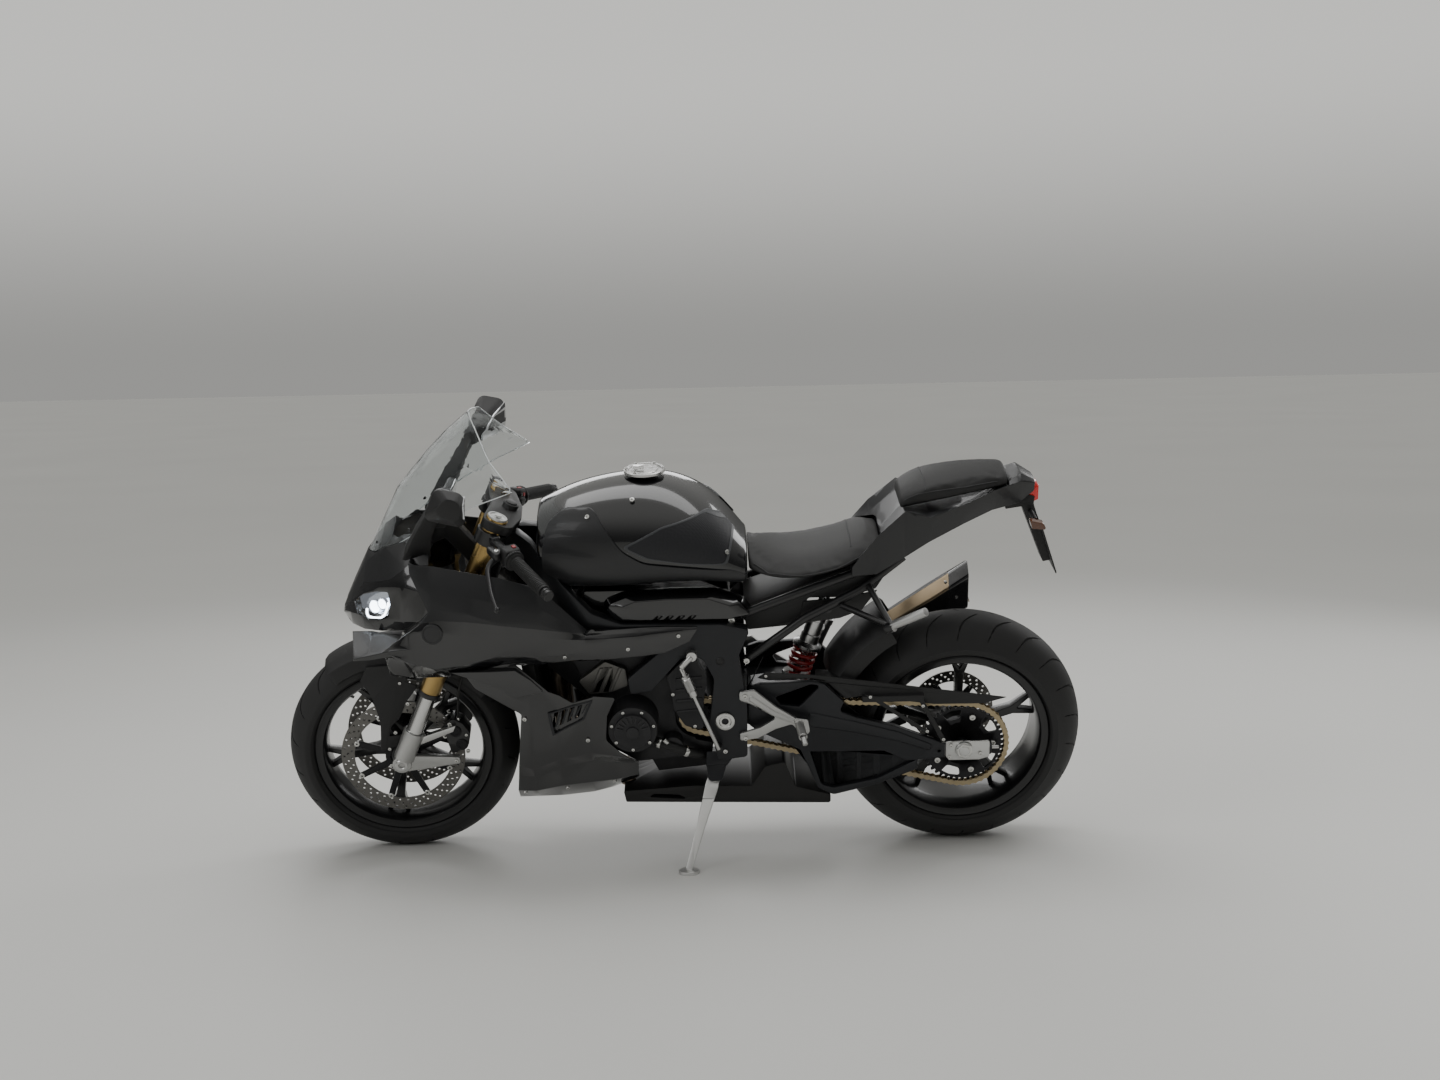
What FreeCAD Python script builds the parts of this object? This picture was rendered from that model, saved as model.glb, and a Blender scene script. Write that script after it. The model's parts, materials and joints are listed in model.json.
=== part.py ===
import FreeCAD, Part
import math
import os
from FreeCAD import Placement, Rotation, Vector

# A faired sport motorcycle, parked on its side stand.
# It is drawn upright: X runs back from the front axle, Y to the rider's right, Z up from the ground.
# At the end every piece is steered, leaned and moved to the datum under the middle of its box.

# Driving dimensions, in millimetres and degrees
WHEELBASE = 1457.0
RAKE = 23.6
TRAIL = 99.8
FORK_SPREAD = 107.0          # half the distance between the fork legs
LEAN = 14.0                  # to the left, on the side stand
PARKED_STEER = 4.4           # to the left
STEERING_LOCK = 24.0         # each way from straight ahead

FRONT_TYRE_RADIUS = 300.0
FRONT_TYRE_WIDTH = 120.0
FRONT_CROWN_RADIUS = 62.0
FRONT_RIM_WIDTH = 89.0
REAR_TYRE_RADIUS = 320.5
REAR_TYRE_WIDTH = 190.0
REAR_CROWN_RADIUS = 98.0
REAR_RIM_WIDTH = 152.0
RIM_SEAT_RADIUS = 216.0
RIM_FLANGE_RADIUS = 231.0
RIM_FLANGE_WIDTH = 6.0
SPOKE_COUNT = 5

DISC_TO_RIM = 56.0           # from the front discs' edge to the rim's seat
FRONT_DISC_RADIUS = RIM_SEAT_RADIUS - DISC_TO_RIM
FRONT_DISC_OFFSET = 70.0
REAR_DISC_RADIUS = 110.0
REAR_DISC_OFFSET = 92.0
DISC_THICKNESS = 5.0

CHAIN_OFFSET = 110.0         # the chain runs this far left of the middle
CHAIN_PITCH = 15.875
CHAIN_HEIGHT = 15.0
CHAIN_WIDTH = 17.0
CHAIN_ROLLER_RADIUS = 5.0
CHAIN_ROOM = 14.0            # kept free on each side of the chain's plane
LINK_THICKNESS = 4.0
SPROCKET_THICKNESS = 7.0
SPROCKET_CLEARANCE = 0.5     # between the rollers and the bottom of the teeth's gaps
REAR_SPROCKET_TEETH = 45
FRONT_SPROCKET_TEETH = 17
FRONT_SPROCKET = (778.0, 415.0)
SWINGARM_PIVOT = (847.0, 425.0)

STANCHION_RADIUS = 21.5
OUTER_TUBE_RADIUS = 27.0
PANEL = 3.5                  # thickness of the moulded panels
GAP = 0.3                    # running and seating gap
SPOOL_HOLE_RADIUS = 4.0      # M8 thread for a paddock stand's bobbin
SPOOL_HOLE = (1395.0, 312.0)
ARM_INSIDE = CHAIN_OFFSET + CHAIN_ROOM   # inner face of the swingarm's beams
ARM_PLATE = 16.0
SHOCK_MOUNT = (1112.0, 700.0)
STAND_PIVOT = (817.0, -152.0, 263.0)
STAND_REACH = (748.0, -333.0)  # where the foot meets the floor, on the parked bike
STAND_PIN_RADIUS = 7.0
SPAR_OUTSIDE = 168.0         # outer and inner face of the frame's pivot plates
SPAR_INSIDE = 126.0
BELLY_BOSS = (530.0, 480.0)
CAP_RADIUS = 52.0

# Middle of the leaned part's box, measured from the printed extents
DATUM_X = 738.75
DATUM_Y = -262.0

SIDES = (-1, 1)


def turn(shape, angle, centre, axis):
    turned = shape.copy()
    turned.rotate(centre, axis, angle)
    return turned


def mirrored(shape):
    return shape.mirror(Vector(0, 0, 0), Vector(0, 1, 0))


def pair(shape):
    return Part.makeCompound([shape, mirrored(shape)])


def fuse(shapes):
    joined = shapes[0]
    if len(shapes) > 1:
        joined = shapes[0].multiFuse(shapes[1:])
    return joined.removeSplitter()


def cut(shape, tools):
    for tool in tools:
        shape = shape.cut(tool)
    return shape


def rounded_wire(points, place):
    """Closed wire of straight runs. A point is (a, b) or (a, b, corner radius)."""
    flat = [Vector(p[0], p[1], 0) for p in points]
    radii = [p[2] if len(p) > 2 else 0 for p in points]
    ends = []
    for i, corner in enumerate(flat):
        before = flat[i - 1] - corner
        after = flat[(i + 1) % len(flat)] - corner
        if radii[i] == 0:
            ends.append((corner, corner, None))
            continue
        half = before.getAngle(after) / 2
        reach = min(radii[i] / math.tan(half), 0.49 * before.Length, 0.49 * after.Length)
        before.normalize()
        after.normalize()
        bisector = before + after
        bisector.normalize()
        radius = reach * math.tan(half)
        middle = corner + bisector * (radius / math.sin(half) - radius)
        ends.append((corner + before * reach, corner + after * reach, middle))
    edges = []
    for i, (start, end, middle) in enumerate(ends):
        if middle is not None:
            edges.append(Part.Arc(place(start), place(middle), place(end)).toShape())
        following = ends[(i + 1) % len(ends)][0]
        if (following - end).Length > 1e-6:
            edges.append(Part.makeLine(place(end), place(following)))
    return Part.Wire(edges)


def side_plate(points, y_from, y_to):
    """A plate cut to an outline in side view, points (x, z)."""
    wire = rounded_wire(points, lambda p: Vector(p.x, y_from, p.y))
    return Part.Face(wire).extrude(Vector(0, y_to - y_from, 0))


def about(centre, points):
    """Outline points given from a centre, moved to their place in side view."""
    return [(centre.x + p[0], centre.z + p[1]) + tuple(p[2:]) for p in points]


def top_plate(points, z_from, z_to):
    """A plate cut to an outline in plan, points (x, y)."""
    wire = rounded_wire(points, lambda p: Vector(p.x, p.y, z_from))
    return Part.Face(wire).extrude(Vector(0, 0, z_to - z_from))


def rod(start, end, radius):
    start = Vector(*start)
    end = Vector(*end)
    return Part.makeCylinder(radius, (end - start).Length, start, end - start)


def bent_tube(points, radius):
    """Straight runs with a ball at each bend."""
    pieces = [rod(a, b, radius) for a, b in zip(points, points[1:])]
    pieces += [Part.makeSphere(radius, Vector(*p)) for p in points[1:-1]]
    return fuse(pieces)


def loft(wires):
    return Part.makeLoft(wires, True, True)


def whole_section(x, half):
    """Closed polygon across the bike from its right half, points (y, z), top to bottom."""
    right = [Vector(x, y, z) for y, z in half]
    left = [Vector(x, -y, z) for y, z in reversed(half) if y > 0]
    return Part.makePolygon(right + left + [right[0]])


def whole_form(stations):
    return loft([whole_section(x, half) for x, half in stations])


def inset(half, thickness):
    """Moves a section line (y, z) inwards by a thickness, with mitred corners."""
    moved = []
    count = len(half)
    for i, (y, z) in enumerate(half):
        normals = []
        for a, b in ((i - 1, i), (i, i + 1)):
            if a < 0 or b >= count:
                continue
            run = Vector(half[b][0] - half[a][0], half[b][1] - half[a][1], 0)
            run.normalize()
            normals.append(Vector(run.y, -run.x, 0))
        mean = normals[0] if len(normals) == 1 else normals[0] + normals[1]
        mean.normalize()
        step = thickness / max(0.5, mean.dot(normals[0]))
        moved.append((y + mean.x * step, z + mean.y * step))
    return moved


def skin(stations, thickness):
    """A thin panel through section lines (y, z) on the right-hand side."""
    wires = []
    for x, line in stations:
        inner = inset(line, thickness)
        ring = [Vector(x, y, z) for y, z in line]
        ring += [Vector(x, y, z) for y, z in reversed(inner)]
        wires.append(Part.makePolygon(ring + [ring[0]]))
    return loft(wires)


# Steering frame: local Z runs up the steering axis, local X back across it
RAKE_RAD = math.radians(RAKE)
AXIS_UP = Vector(math.sin(RAKE_RAD), 0, math.cos(RAKE_RAD))
AXIS_BACK = Vector(math.cos(RAKE_RAD), 0, -math.sin(RAKE_RAD))
AXIS_FOOT = Vector(-TRAIL, 0, 0)
AXLE_ALONG = Vector(TRAIL, 0, FRONT_TYRE_RADIUS).dot(AXIS_UP)
FORK_OFFSET = -Vector(TRAIL, 0, FRONT_TYRE_RADIUS).dot(AXIS_BACK)
UPPER_CLAMP = 700.0          # heights along the fork, from the axle
LOWER_CLAMP = 511.0


def steering_point(back, right, up):
    """Point from its distances behind the axis, to the right, and up the fork from the axle."""
    return AXIS_FOOT + AXIS_BACK * back + Vector(0, right, 0) + AXIS_UP * (up + AXLE_ALONG)


def fork_rod(side, low, high, radius):
    start = steering_point(-FORK_OFFSET, side * FORK_SPREAD, low)
    return Part.makeCylinder(radius, high - low, start, AXIS_UP)


def clamp_plate(points, low, high):
    """A plate square to the steering axis, points (back, right)."""
    wire = rounded_wire(points, lambda p: steering_point(p.x, p.y, low))
    return Part.Face(wire).extrude(AXIS_UP * (high - low))


# Wheels

def tyre(centre, radius, width, crown, rim_width):
    half = width / 2
    ring = radius - crown
    shoulder = ring + math.sqrt(crown ** 2 - half ** 2)
    inner = rim_width / 2 - GAP
    right = Vector(centre.x, half, centre.z + shoulder)
    top = Vector(centre.x, 0, centre.z + radius)
    left = Vector(centre.x, -half, centre.z + shoulder)
    bead_high = RIM_FLANGE_RADIUS + 1
    edges = [Part.Arc(left, top, right).toShape()]
    corners = [right, Vector(centre.x, inner, centre.z + bead_high),
               Vector(centre.x, inner, centre.z + RIM_SEAT_RADIUS),
               Vector(centre.x, -inner, centre.z + RIM_SEAT_RADIUS),
               Vector(centre.x, -inner, centre.z + bead_high), left]
    edges += [Part.makeLine(a, b) for a, b in zip(corners, corners[1:])]
    return Part.Face(Part.Wire(edges)).revolve(centre, Vector(0, 1, 0), 360)


def ring_solid(centre, outer, inner, y_from, y_to):
    base = Vector(centre.x, y_from, centre.z)
    disc = Part.makeCylinder(outer, y_to - y_from, base, Vector(0, 1, 0))
    return disc.cut(Part.makeCylinder(inner, y_to - y_from, base, Vector(0, 1, 0)))


def rim(centre, width, hub_radius, hub_width, bore, first_spoke):
    half = width / 2
    flange = half + RIM_FLANGE_WIDTH
    profile = [(RIM_SEAT_RADIUS, -half), (RIM_SEAT_RADIUS, half), (RIM_FLANGE_RADIUS, half),
               (RIM_FLANGE_RADIUS, flange), (RIM_SEAT_RADIUS - 8, flange - 3),
               (RIM_SEAT_RADIUS - 12, half * 0.4), (RIM_SEAT_RADIUS - 12, -half * 0.4),
               (RIM_SEAT_RADIUS - 8, 3 - flange), (RIM_FLANGE_RADIUS, -flange),
               (RIM_FLANGE_RADIUS, -half)]
    corners = [Vector(centre.x, y, centre.z + r) for r, y in profile]
    barrel = Part.Face(Part.makePolygon(corners + [corners[0]]))
    barrel = barrel.revolve(centre, Vector(0, 1, 0), 360)
    base = Vector(centre.x, -hub_width / 2, centre.z)
    pieces = [barrel, Part.makeCylinder(hub_radius, hub_width, base, Vector(0, 1, 0))]
    tip = RIM_SEAT_RADIUS - 10
    spoke_half = 15
    for i in range(SPOKE_COUNT):
        outline = [(centre.x + 10, centre.z + 14), (centre.x + 10, centre.z - 14),
                   (centre.x + tip - 45, centre.z - 12), (centre.x + tip, centre.z - 27),
                   (centre.x + tip, centre.z - 17), (centre.x + tip - 36, centre.z),
                   (centre.x + tip, centre.z + 17), (centre.x + tip, centre.z + 27),
                   (centre.x + tip - 45, centre.z + 12)]
        spoke = side_plate(outline, -spoke_half, spoke_half)
        pieces.append(turn(spoke, first_spoke + 360 / SPOKE_COUNT * i, centre, Vector(0, -1, 0)))
    wheel = fuse(pieces)
    return wheel.cut(Part.makeCylinder(bore, hub_width + 2, base - Vector(0, 1, 0), Vector(0, 1, 0)))


def wheel_cover(centre, crown, thickness, angle_from, angle_to):
    """A mudguard turned about the axle. The crown is half its section, points (y, radius)."""
    outer = crown + [(crown[-1][0] + thickness, crown[-1][1])]
    grown_crown = [(y + (thickness if y > 0 else 0), r + thickness) for y, r in crown[:-1]] + [outer[-1]]
    ring = grown_crown + list(reversed(crown))
    ring += [(-y, r) for y, r in crown[1:]] + [(-y, r) for y, r in reversed(grown_crown) if y > 0]
    corners = [Vector(centre.x, y, centre.z + r) for y, r in ring]
    face = Part.Face(Part.makePolygon(corners + [corners[0]]))
    face.rotate(centre, Vector(0, 1, 0), angle_from)
    return face.revolve(centre, Vector(0, 1, 0), angle_to - angle_from)


def wheel_room(centre, crown, inner):
    """Everything under a mudguard's section, as a ring about the axle."""
    ring = [(y, r) for y, r in crown] + [(crown[-1][0], inner)]
    ring += [(-crown[-1][0], inner)] + [(-y, r) for y, r in reversed(crown) if y > 0]
    corners = [Vector(centre.x, y, centre.z + r) for y, r in ring]
    face = Part.Face(Part.makePolygon(corners + [corners[0]]))
    return face.revolve(centre, Vector(0, 1, 0), 360)


def brake_disc(centre, radius, y, band, hub):
    rotor = ring_solid(centre, radius, radius - band, y - DISC_THICKNESS / 2, y + DISC_THICKNESS / 2)
    pieces = [rotor, ring_solid(centre, hub + 14, hub, y - 3, y + 3)]
    for i in range(5):
        arm = side_plate([(centre.x + hub + 4, centre.z + 11), (centre.x + hub + 4, centre.z - 11),
                          (centre.x + radius - band + 4, centre.z - 8),
                          (centre.x + radius - band + 4, centre.z + 8)], y - 3, y + 3)
        pieces.append(turn(arm, 72 * i + 20, centre, Vector(0, 1, 0)))
    return fuse(pieces)


def sprocket(centre, teeth, y, thickness, bore, tip, root):
    pitch = 360 / teeth
    corners = []
    for i in range(teeth):
        for share, radius in ((-0.32, root), (-0.12, tip), (0.12, tip), (0.32, root)):
            angle = math.radians((i + share) * pitch)
            corners.append((centre.x + radius * math.cos(angle), centre.z + radius * math.sin(angle)))
    plate = side_plate(corners, y - thickness / 2, y + thickness / 2)
    base = Vector(centre.x, y - thickness, centre.z)
    return plate.cut(Part.makeCylinder(bore, 2 * thickness, base, Vector(0, 1, 0)))


def pitch_radius(teeth):
    return CHAIN_PITCH / (2 * math.sin(math.pi / teeth))


FRONT_AXLE = Vector(0, 0, FRONT_TYRE_RADIUS)
REAR_AXLE = Vector(WHEELBASE, 0, REAR_TYRE_RADIUS)
AXLE_BORE = 14.0
FRONT_HUB_RADIUS = 34.0
FRONT_HUB_WIDTH = 2 * FRONT_DISC_OFFSET + 6
REAR_HUB_RADIUS = 48.0
REAR_HUB_WIDTH = 2 * (REAR_DISC_OFFSET - 3 - GAP)


def front_wheel_pieces():
    discs = [brake_disc(FRONT_AXLE, FRONT_DISC_RADIUS, side * FRONT_DISC_OFFSET, 34,
                        FRONT_HUB_RADIUS + GAP)
             for side in SIDES]
    return {
        "front_tyre": tyre(FRONT_AXLE, FRONT_TYRE_RADIUS, FRONT_TYRE_WIDTH, FRONT_CROWN_RADIUS,
                           FRONT_RIM_WIDTH),
        "front_rim": rim(FRONT_AXLE, FRONT_RIM_WIDTH, FRONT_HUB_RADIUS, FRONT_HUB_WIDTH, AXLE_BORE, 44),
        "front_discs": Part.makeCompound(discs),
    }


def rear_wheel_pieces():
    sprocket_tip = pitch_radius(REAR_SPROCKET_TEETH) - CHAIN_ROLLER_RADIUS - SPROCKET_CLEARANCE
    return {
        "rear_tyre": tyre(REAR_AXLE, REAR_TYRE_RADIUS, REAR_TYRE_WIDTH, REAR_CROWN_RADIUS,
                          REAR_RIM_WIDTH),
        "rear_rim": rim(REAR_AXLE, REAR_RIM_WIDTH, REAR_HUB_RADIUS, REAR_HUB_WIDTH, AXLE_BORE, 17),
        "rear_disc": brake_disc(REAR_AXLE, REAR_DISC_RADIUS, REAR_DISC_OFFSET, 30, 30),
        "rear_sprocket": fuse([
            sprocket(REAR_AXLE, REAR_SPROCKET_TEETH, -CHAIN_OFFSET, SPROCKET_THICKNESS, 60,
                     sprocket_tip, sprocket_tip - 8),
            ring_solid(REAR_AXLE, 68, 16, -CHAIN_OFFSET + 2, -REAR_HUB_WIDTH / 2)]),
    }


# Steering group

# The mudguard's section, points (y, rise above the tyre), and its side blade and the caliper,
# points (x, z) from the axle and from the middle of the caliper on the disc's edge
FENDER_CROWN = [(0, 12), (34, 7), (56, -8), (66, -38)]
FENDER_BLADE = [(-90, 228), (-63, 175, 20), (-49, 104, 20), (-56, 14, 6), (-36, 30, 20), (-24, 92, 30),
                (0, 113, 20), (22, 160, 20), (56, 205, 6), (25, 219), (-25, 236), (-66, 246, 6)]
FENDER_TAB = [(-45, 30), (-32, 64), (26, 68, 6), (26, 32, 6)]
CALIPER_ANGLE = 21.1
CALIPER_OUTLINE = [(-20, -50, 10), (24, -24, 12), (31, 10, 12), (14, 40, 12), (-12, 56, 10), (-38, 34, 6),
                   (-28, -18, 6)]


def steering_pieces():
    axle = Part.makeCylinder(AXLE_BORE - 0.3, 2 * FORK_SPREAD + 30,
                             FRONT_AXLE - Vector(0, FORK_SPREAD + 15, 0), Vector(0, 1, 0))
    lowers = []
    for side in SIDES:
        foot = Part.makeCylinder(24, 30, FRONT_AXLE + Vector(0, side * FORK_SPREAD - 15, 0),
                                 Vector(0, 1, 0))
        y = side * FORK_SPREAD
        arm = side_plate(about(FRONT_AXLE, [(0, 22), (-12, -20), (10, -24), (150, -8, 6), (150, 10, 6),
                                            (60, 18)]), y - 9, y + 9)
        brace = side_plate(about(FRONT_AXLE, [(40, 68), (48, 50), (138, 84), (146, 102)]), y - 8, y + 8)
        lowers.append(fuse([foot, arm, brace, fork_rod(side, 15, 99, OUTER_TUBE_RADIUS),
                            fork_rod(side, 60, 230, STANCHION_RADIUS)]))
    lowers.append(axle)
    lower_legs = fuse(lowers)
    outers = [fork_rod(side, 210, 726, OUTER_TUBE_RADIUS).cut(
        fork_rod(side, 205, 240, STANCHION_RADIUS + GAP)) for side in SIDES]

    def clamp(low, high, reach):
        spread = FORK_SPREAD + reach
        plate = clamp_plate([(-FORK_OFFSET - 38, -spread, 30), (-FORK_OFFSET - 20, 0, 30),
                             (-FORK_OFFSET - 38, spread, 30), (-FORK_OFFSET + 38, spread, 30),
                             (34, 40, 20), (34, -40, 20), (-FORK_OFFSET + 38, -spread, 30)], low, high)
        return cut(plate, [fork_rod(side, low - 5, high + 5, OUTER_TUBE_RADIUS) for side in SIDES])

    stem = Part.makeCylinder(15, UPPER_CLAMP - LOWER_CLAMP + 40, steering_point(0, 0, LOWER_CLAMP),
                             AXIS_UP)
    nut = Part.makeCylinder(20, 14, steering_point(0, 0, UPPER_CLAMP + 22), AXIS_UP)
    clamps = fuse([clamp(LOWER_CLAMP - 20, LOWER_CLAMP + 20, 36),
                   clamp(UPPER_CLAMP - 2, UPPER_CLAMP + 22, 34), stem, nut])

    bars = []
    for side in SIDES:
        ring = Part.makeCylinder(37, 36, steering_point(-FORK_OFFSET, side * FORK_SPREAD,
                                                        UPPER_CLAMP - 44), AXIS_UP)
        ring = ring.cut(fork_rod(side, UPPER_CLAMP - 60, UPPER_CLAMP, OUTER_TUBE_RADIUS))
        start = (278, side * 137, 922)
        end = (406, side * 350, 866)
        grip_start = (333, side * 230, 898)
        switch_start = (322, side * 210, 903)
        bars.append(fuse([ring, rod(start, end, 11).cut(
            fork_rod(side, UPPER_CLAMP - 90, UPPER_CLAMP + 40, OUTER_TUBE_RADIUS)),
            rod(grip_start, end, 16.5), rod(end, (417, side * 368, 861), 14),
            rod(switch_start, grip_start, 24)]))
        lever = bent_tube([(306, side * 198, 905), (268, side * 232, 886), (276, side * 300, 850),
                           (290, side * 345, 826)], 6)
        bars.append(lever)

    crown = [(y, FRONT_TYRE_RADIUS + rise) for y, rise in FENDER_CROWN]
    fender = wheel_cover(FRONT_AXLE, crown, PANEL, -36, 54)
    blade_inside = FRONT_DISC_OFFSET + 8.5
    blade = fuse([side_plate(about(FRONT_AXLE, points), blade_inside, blade_inside + PANEL)
                  for points in (FENDER_BLADE, FENDER_TAB)])
    rail = side_plate(about(FRONT_AXLE, [(-88, 229), (-72, 263), (22, 270), (30, 222), (-20, 205)]), 60,
                      blade_inside + PANEL)
    rail = rail.cut(wheel_room(FRONT_AXLE, crown, 80))
    fender_shape = fuse([fender, blade, mirrored(blade), rail, mirrored(rail)]).cut(lower_legs)

    caliper_way = math.radians(CALIPER_ANGLE)
    caliper_centre = FRONT_AXLE + Vector(math.cos(caliper_way), 0, math.sin(caliper_way)) * FRONT_DISC_RADIUS
    calipers = []
    for side in SIDES:
        body = side_plate(about(caliper_centre, CALIPER_OUTLINE), side * FRONT_DISC_OFFSET - 28,
                          side * FRONT_DISC_OFFSET + 28)
        slot = ring_solid(FRONT_AXLE, FRONT_DISC_RADIUS + 6, 60, side * FRONT_DISC_OFFSET - 9.5,
                          side * FRONT_DISC_OFFSET + 9.5)
        calipers.append(body.cut(slot))
    return {
        "fork_lower_legs": lower_legs,
        "fork_outer_tubes": Part.makeCompound(outers),
        "triple_clamps": clamps,
        "handlebars": Part.makeCompound(bars),
        "front_fender": fender_shape,
        "front_calipers": Part.makeCompound(calipers),
    }


# Frame, engine and running gear

STAND_AXIS = Vector(0, -0.865, 0.501)
STAND_AXIS.normalize()
STAND_KNUCKLE = 13.0         # half its length along the axis

# columns: x, middle height, half height, half width
SILENCER_STATIONS = [(1262, 505, 48, 30), (1300, 515, 64, 52), (1400, 577, 70, 60), (1500, 641, 72, 56)]
SILENCER_OFFSET = 196.0
# the cowl beside the airbox in side view, and the hugger's section, points (y, rise above the tyre)
AIRBOX_COWL = [(560, 698), (545, 740, 20), (600, 762, 20), (700, 768, 20), (829, 768, 30), (900, 742, 20),
               (925, 706, 4), (900, 697)]
HUGGER_CROWN = [(0, 75), (70, 67), (100, 45), (104, 10)]


def slab_about(pivot, axis, points, low, high):
    """A plate square to an axis through a pivot, points (along X, across)."""
    across = axis.cross(Vector(1, 0, 0))
    if across.z < 0:
        across = across * -1
    wire = rounded_wire(points, lambda p: pivot + Vector(p.x, 0, 0) + across * p.y + axis * low)
    return Part.Face(wire).extrude(axis * (high - low))


def stand_bracket():
    """Two cheeks round the stand's knuckle, with its pin, and the web that joins them to the frame."""
    pivot = Vector(*STAND_PIVOT)
    cheek = [(-18, -16, 14), (-20, 60, 4), (62, 60, 4), (30, 24, 10), (18, -16, 14)]
    web = [(-19, 24), (-20, 60, 4), (62, 60, 4), (32, 26)]
    seat = STAND_KNUCKLE + GAP
    pin = Part.makeCylinder(STAND_PIN_RADIUS, 2 * seat + 10, pivot - STAND_AXIS * (seat + 5), STAND_AXIS)
    return fuse([slab_about(pivot, STAND_AXIS, cheek, seat, seat + 7),
                 slab_about(pivot, STAND_AXIS, cheek, -seat - 7, -seat),
                 slab_about(pivot, STAND_AXIS, web, -seat - 7, seat + 12), pin])


def frame_pieces():
    spar_side = [(280, 880), (330, 902), (372, 884), (521, 723, 30), (596, 695, 30), (843, 689),
                 (913, 671, 10), (884, 602, 30), (904, 461, 30), (902, 322, 10), (828, 313, 10),
                 (806, 405, 30), (822, 540, 40), (790, 606, 40), (740, 600, 30), (664, 512, 8),
                 (611, 503, 8), (604, 545, 8), (689, 620, 20), (751, 668, 20), (573, 656, 30),
                 (505, 660, 30), (351, 812, 10), (262, 840)]
    spar_plan = [(250, 20), (300, 36), (345, 60), (400, 112), (450, 152), (573, SPAR_OUTSIDE),
                 (940, SPAR_OUTSIDE), (940, SPAR_INSIDE), (573, 132), (450, 114), (400, 74), (340, 12),
                 (250, 12)]
    spar = side_plate(spar_side, 0, 200).common(top_plate(spar_plan, 250, 1000))
    head = Part.makeCylinder(36, UPPER_CLAMP - LOWER_CLAMP - 28,
                             steering_point(0, 0, LOWER_CLAMP + 24), AXIS_UP)
    bore = Part.makeCylinder(16, 260, steering_point(0, 0, LOWER_CLAMP), AXIS_UP)
    cross = rod((870, -SPAR_INSIDE - 6, 640), (870, SPAR_INSIDE + 6, 640), 18)
    frame = cut(fuse([spar, mirrored(spar), head, cross, stand_bracket()]), [bore])

    def tubes(side):
        upper = [(868, side * 128, 690), (1088, side * 118, 768), (1225, side * 104, 812),
                 (1400, side * 80, 900)]
        lower = [(905, side * 128, 578), (1053, side * 118, 682), (1191, side * 106, 750),
                 (1300, side * 92, 832)]
        return [bent_tube(upper, 11), bent_tube(lower, 11)]

    rails = tubes(-1) + tubes(1)
    rails.append(rod((1225, -104, 812), (1225, 104, 812), 9))
    rails.append(rod((SHOCK_MOUNT[0], -114, SHOCK_MOUNT[1]), (SHOCK_MOUNT[0], 114, SHOCK_MOUNT[1]), 9))
    subframe = cut(fuse(rails), [frame])

    engine = cut(engine_block(), [frame])
    radiator = side_plate([(330, 655), (360, 660), (400, 400), (368, 392)], -165, 165)
    for y_from in (-150, 6):
        core = side_plate([(322, 632), (338, 633), (376, 420), (360, 419)], y_from, y_from + 144)
        radiator = radiator.cut(core)
    tab = side_plate([(350, 610), (356, 560), (440, 575), (430, 625)], 96, 104)
    radiator = fuse([radiator, tab, mirrored(tab)]).cut(engine)
    return {"frame": frame, "subframe": subframe, "engine": engine, "radiator": radiator}


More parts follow.
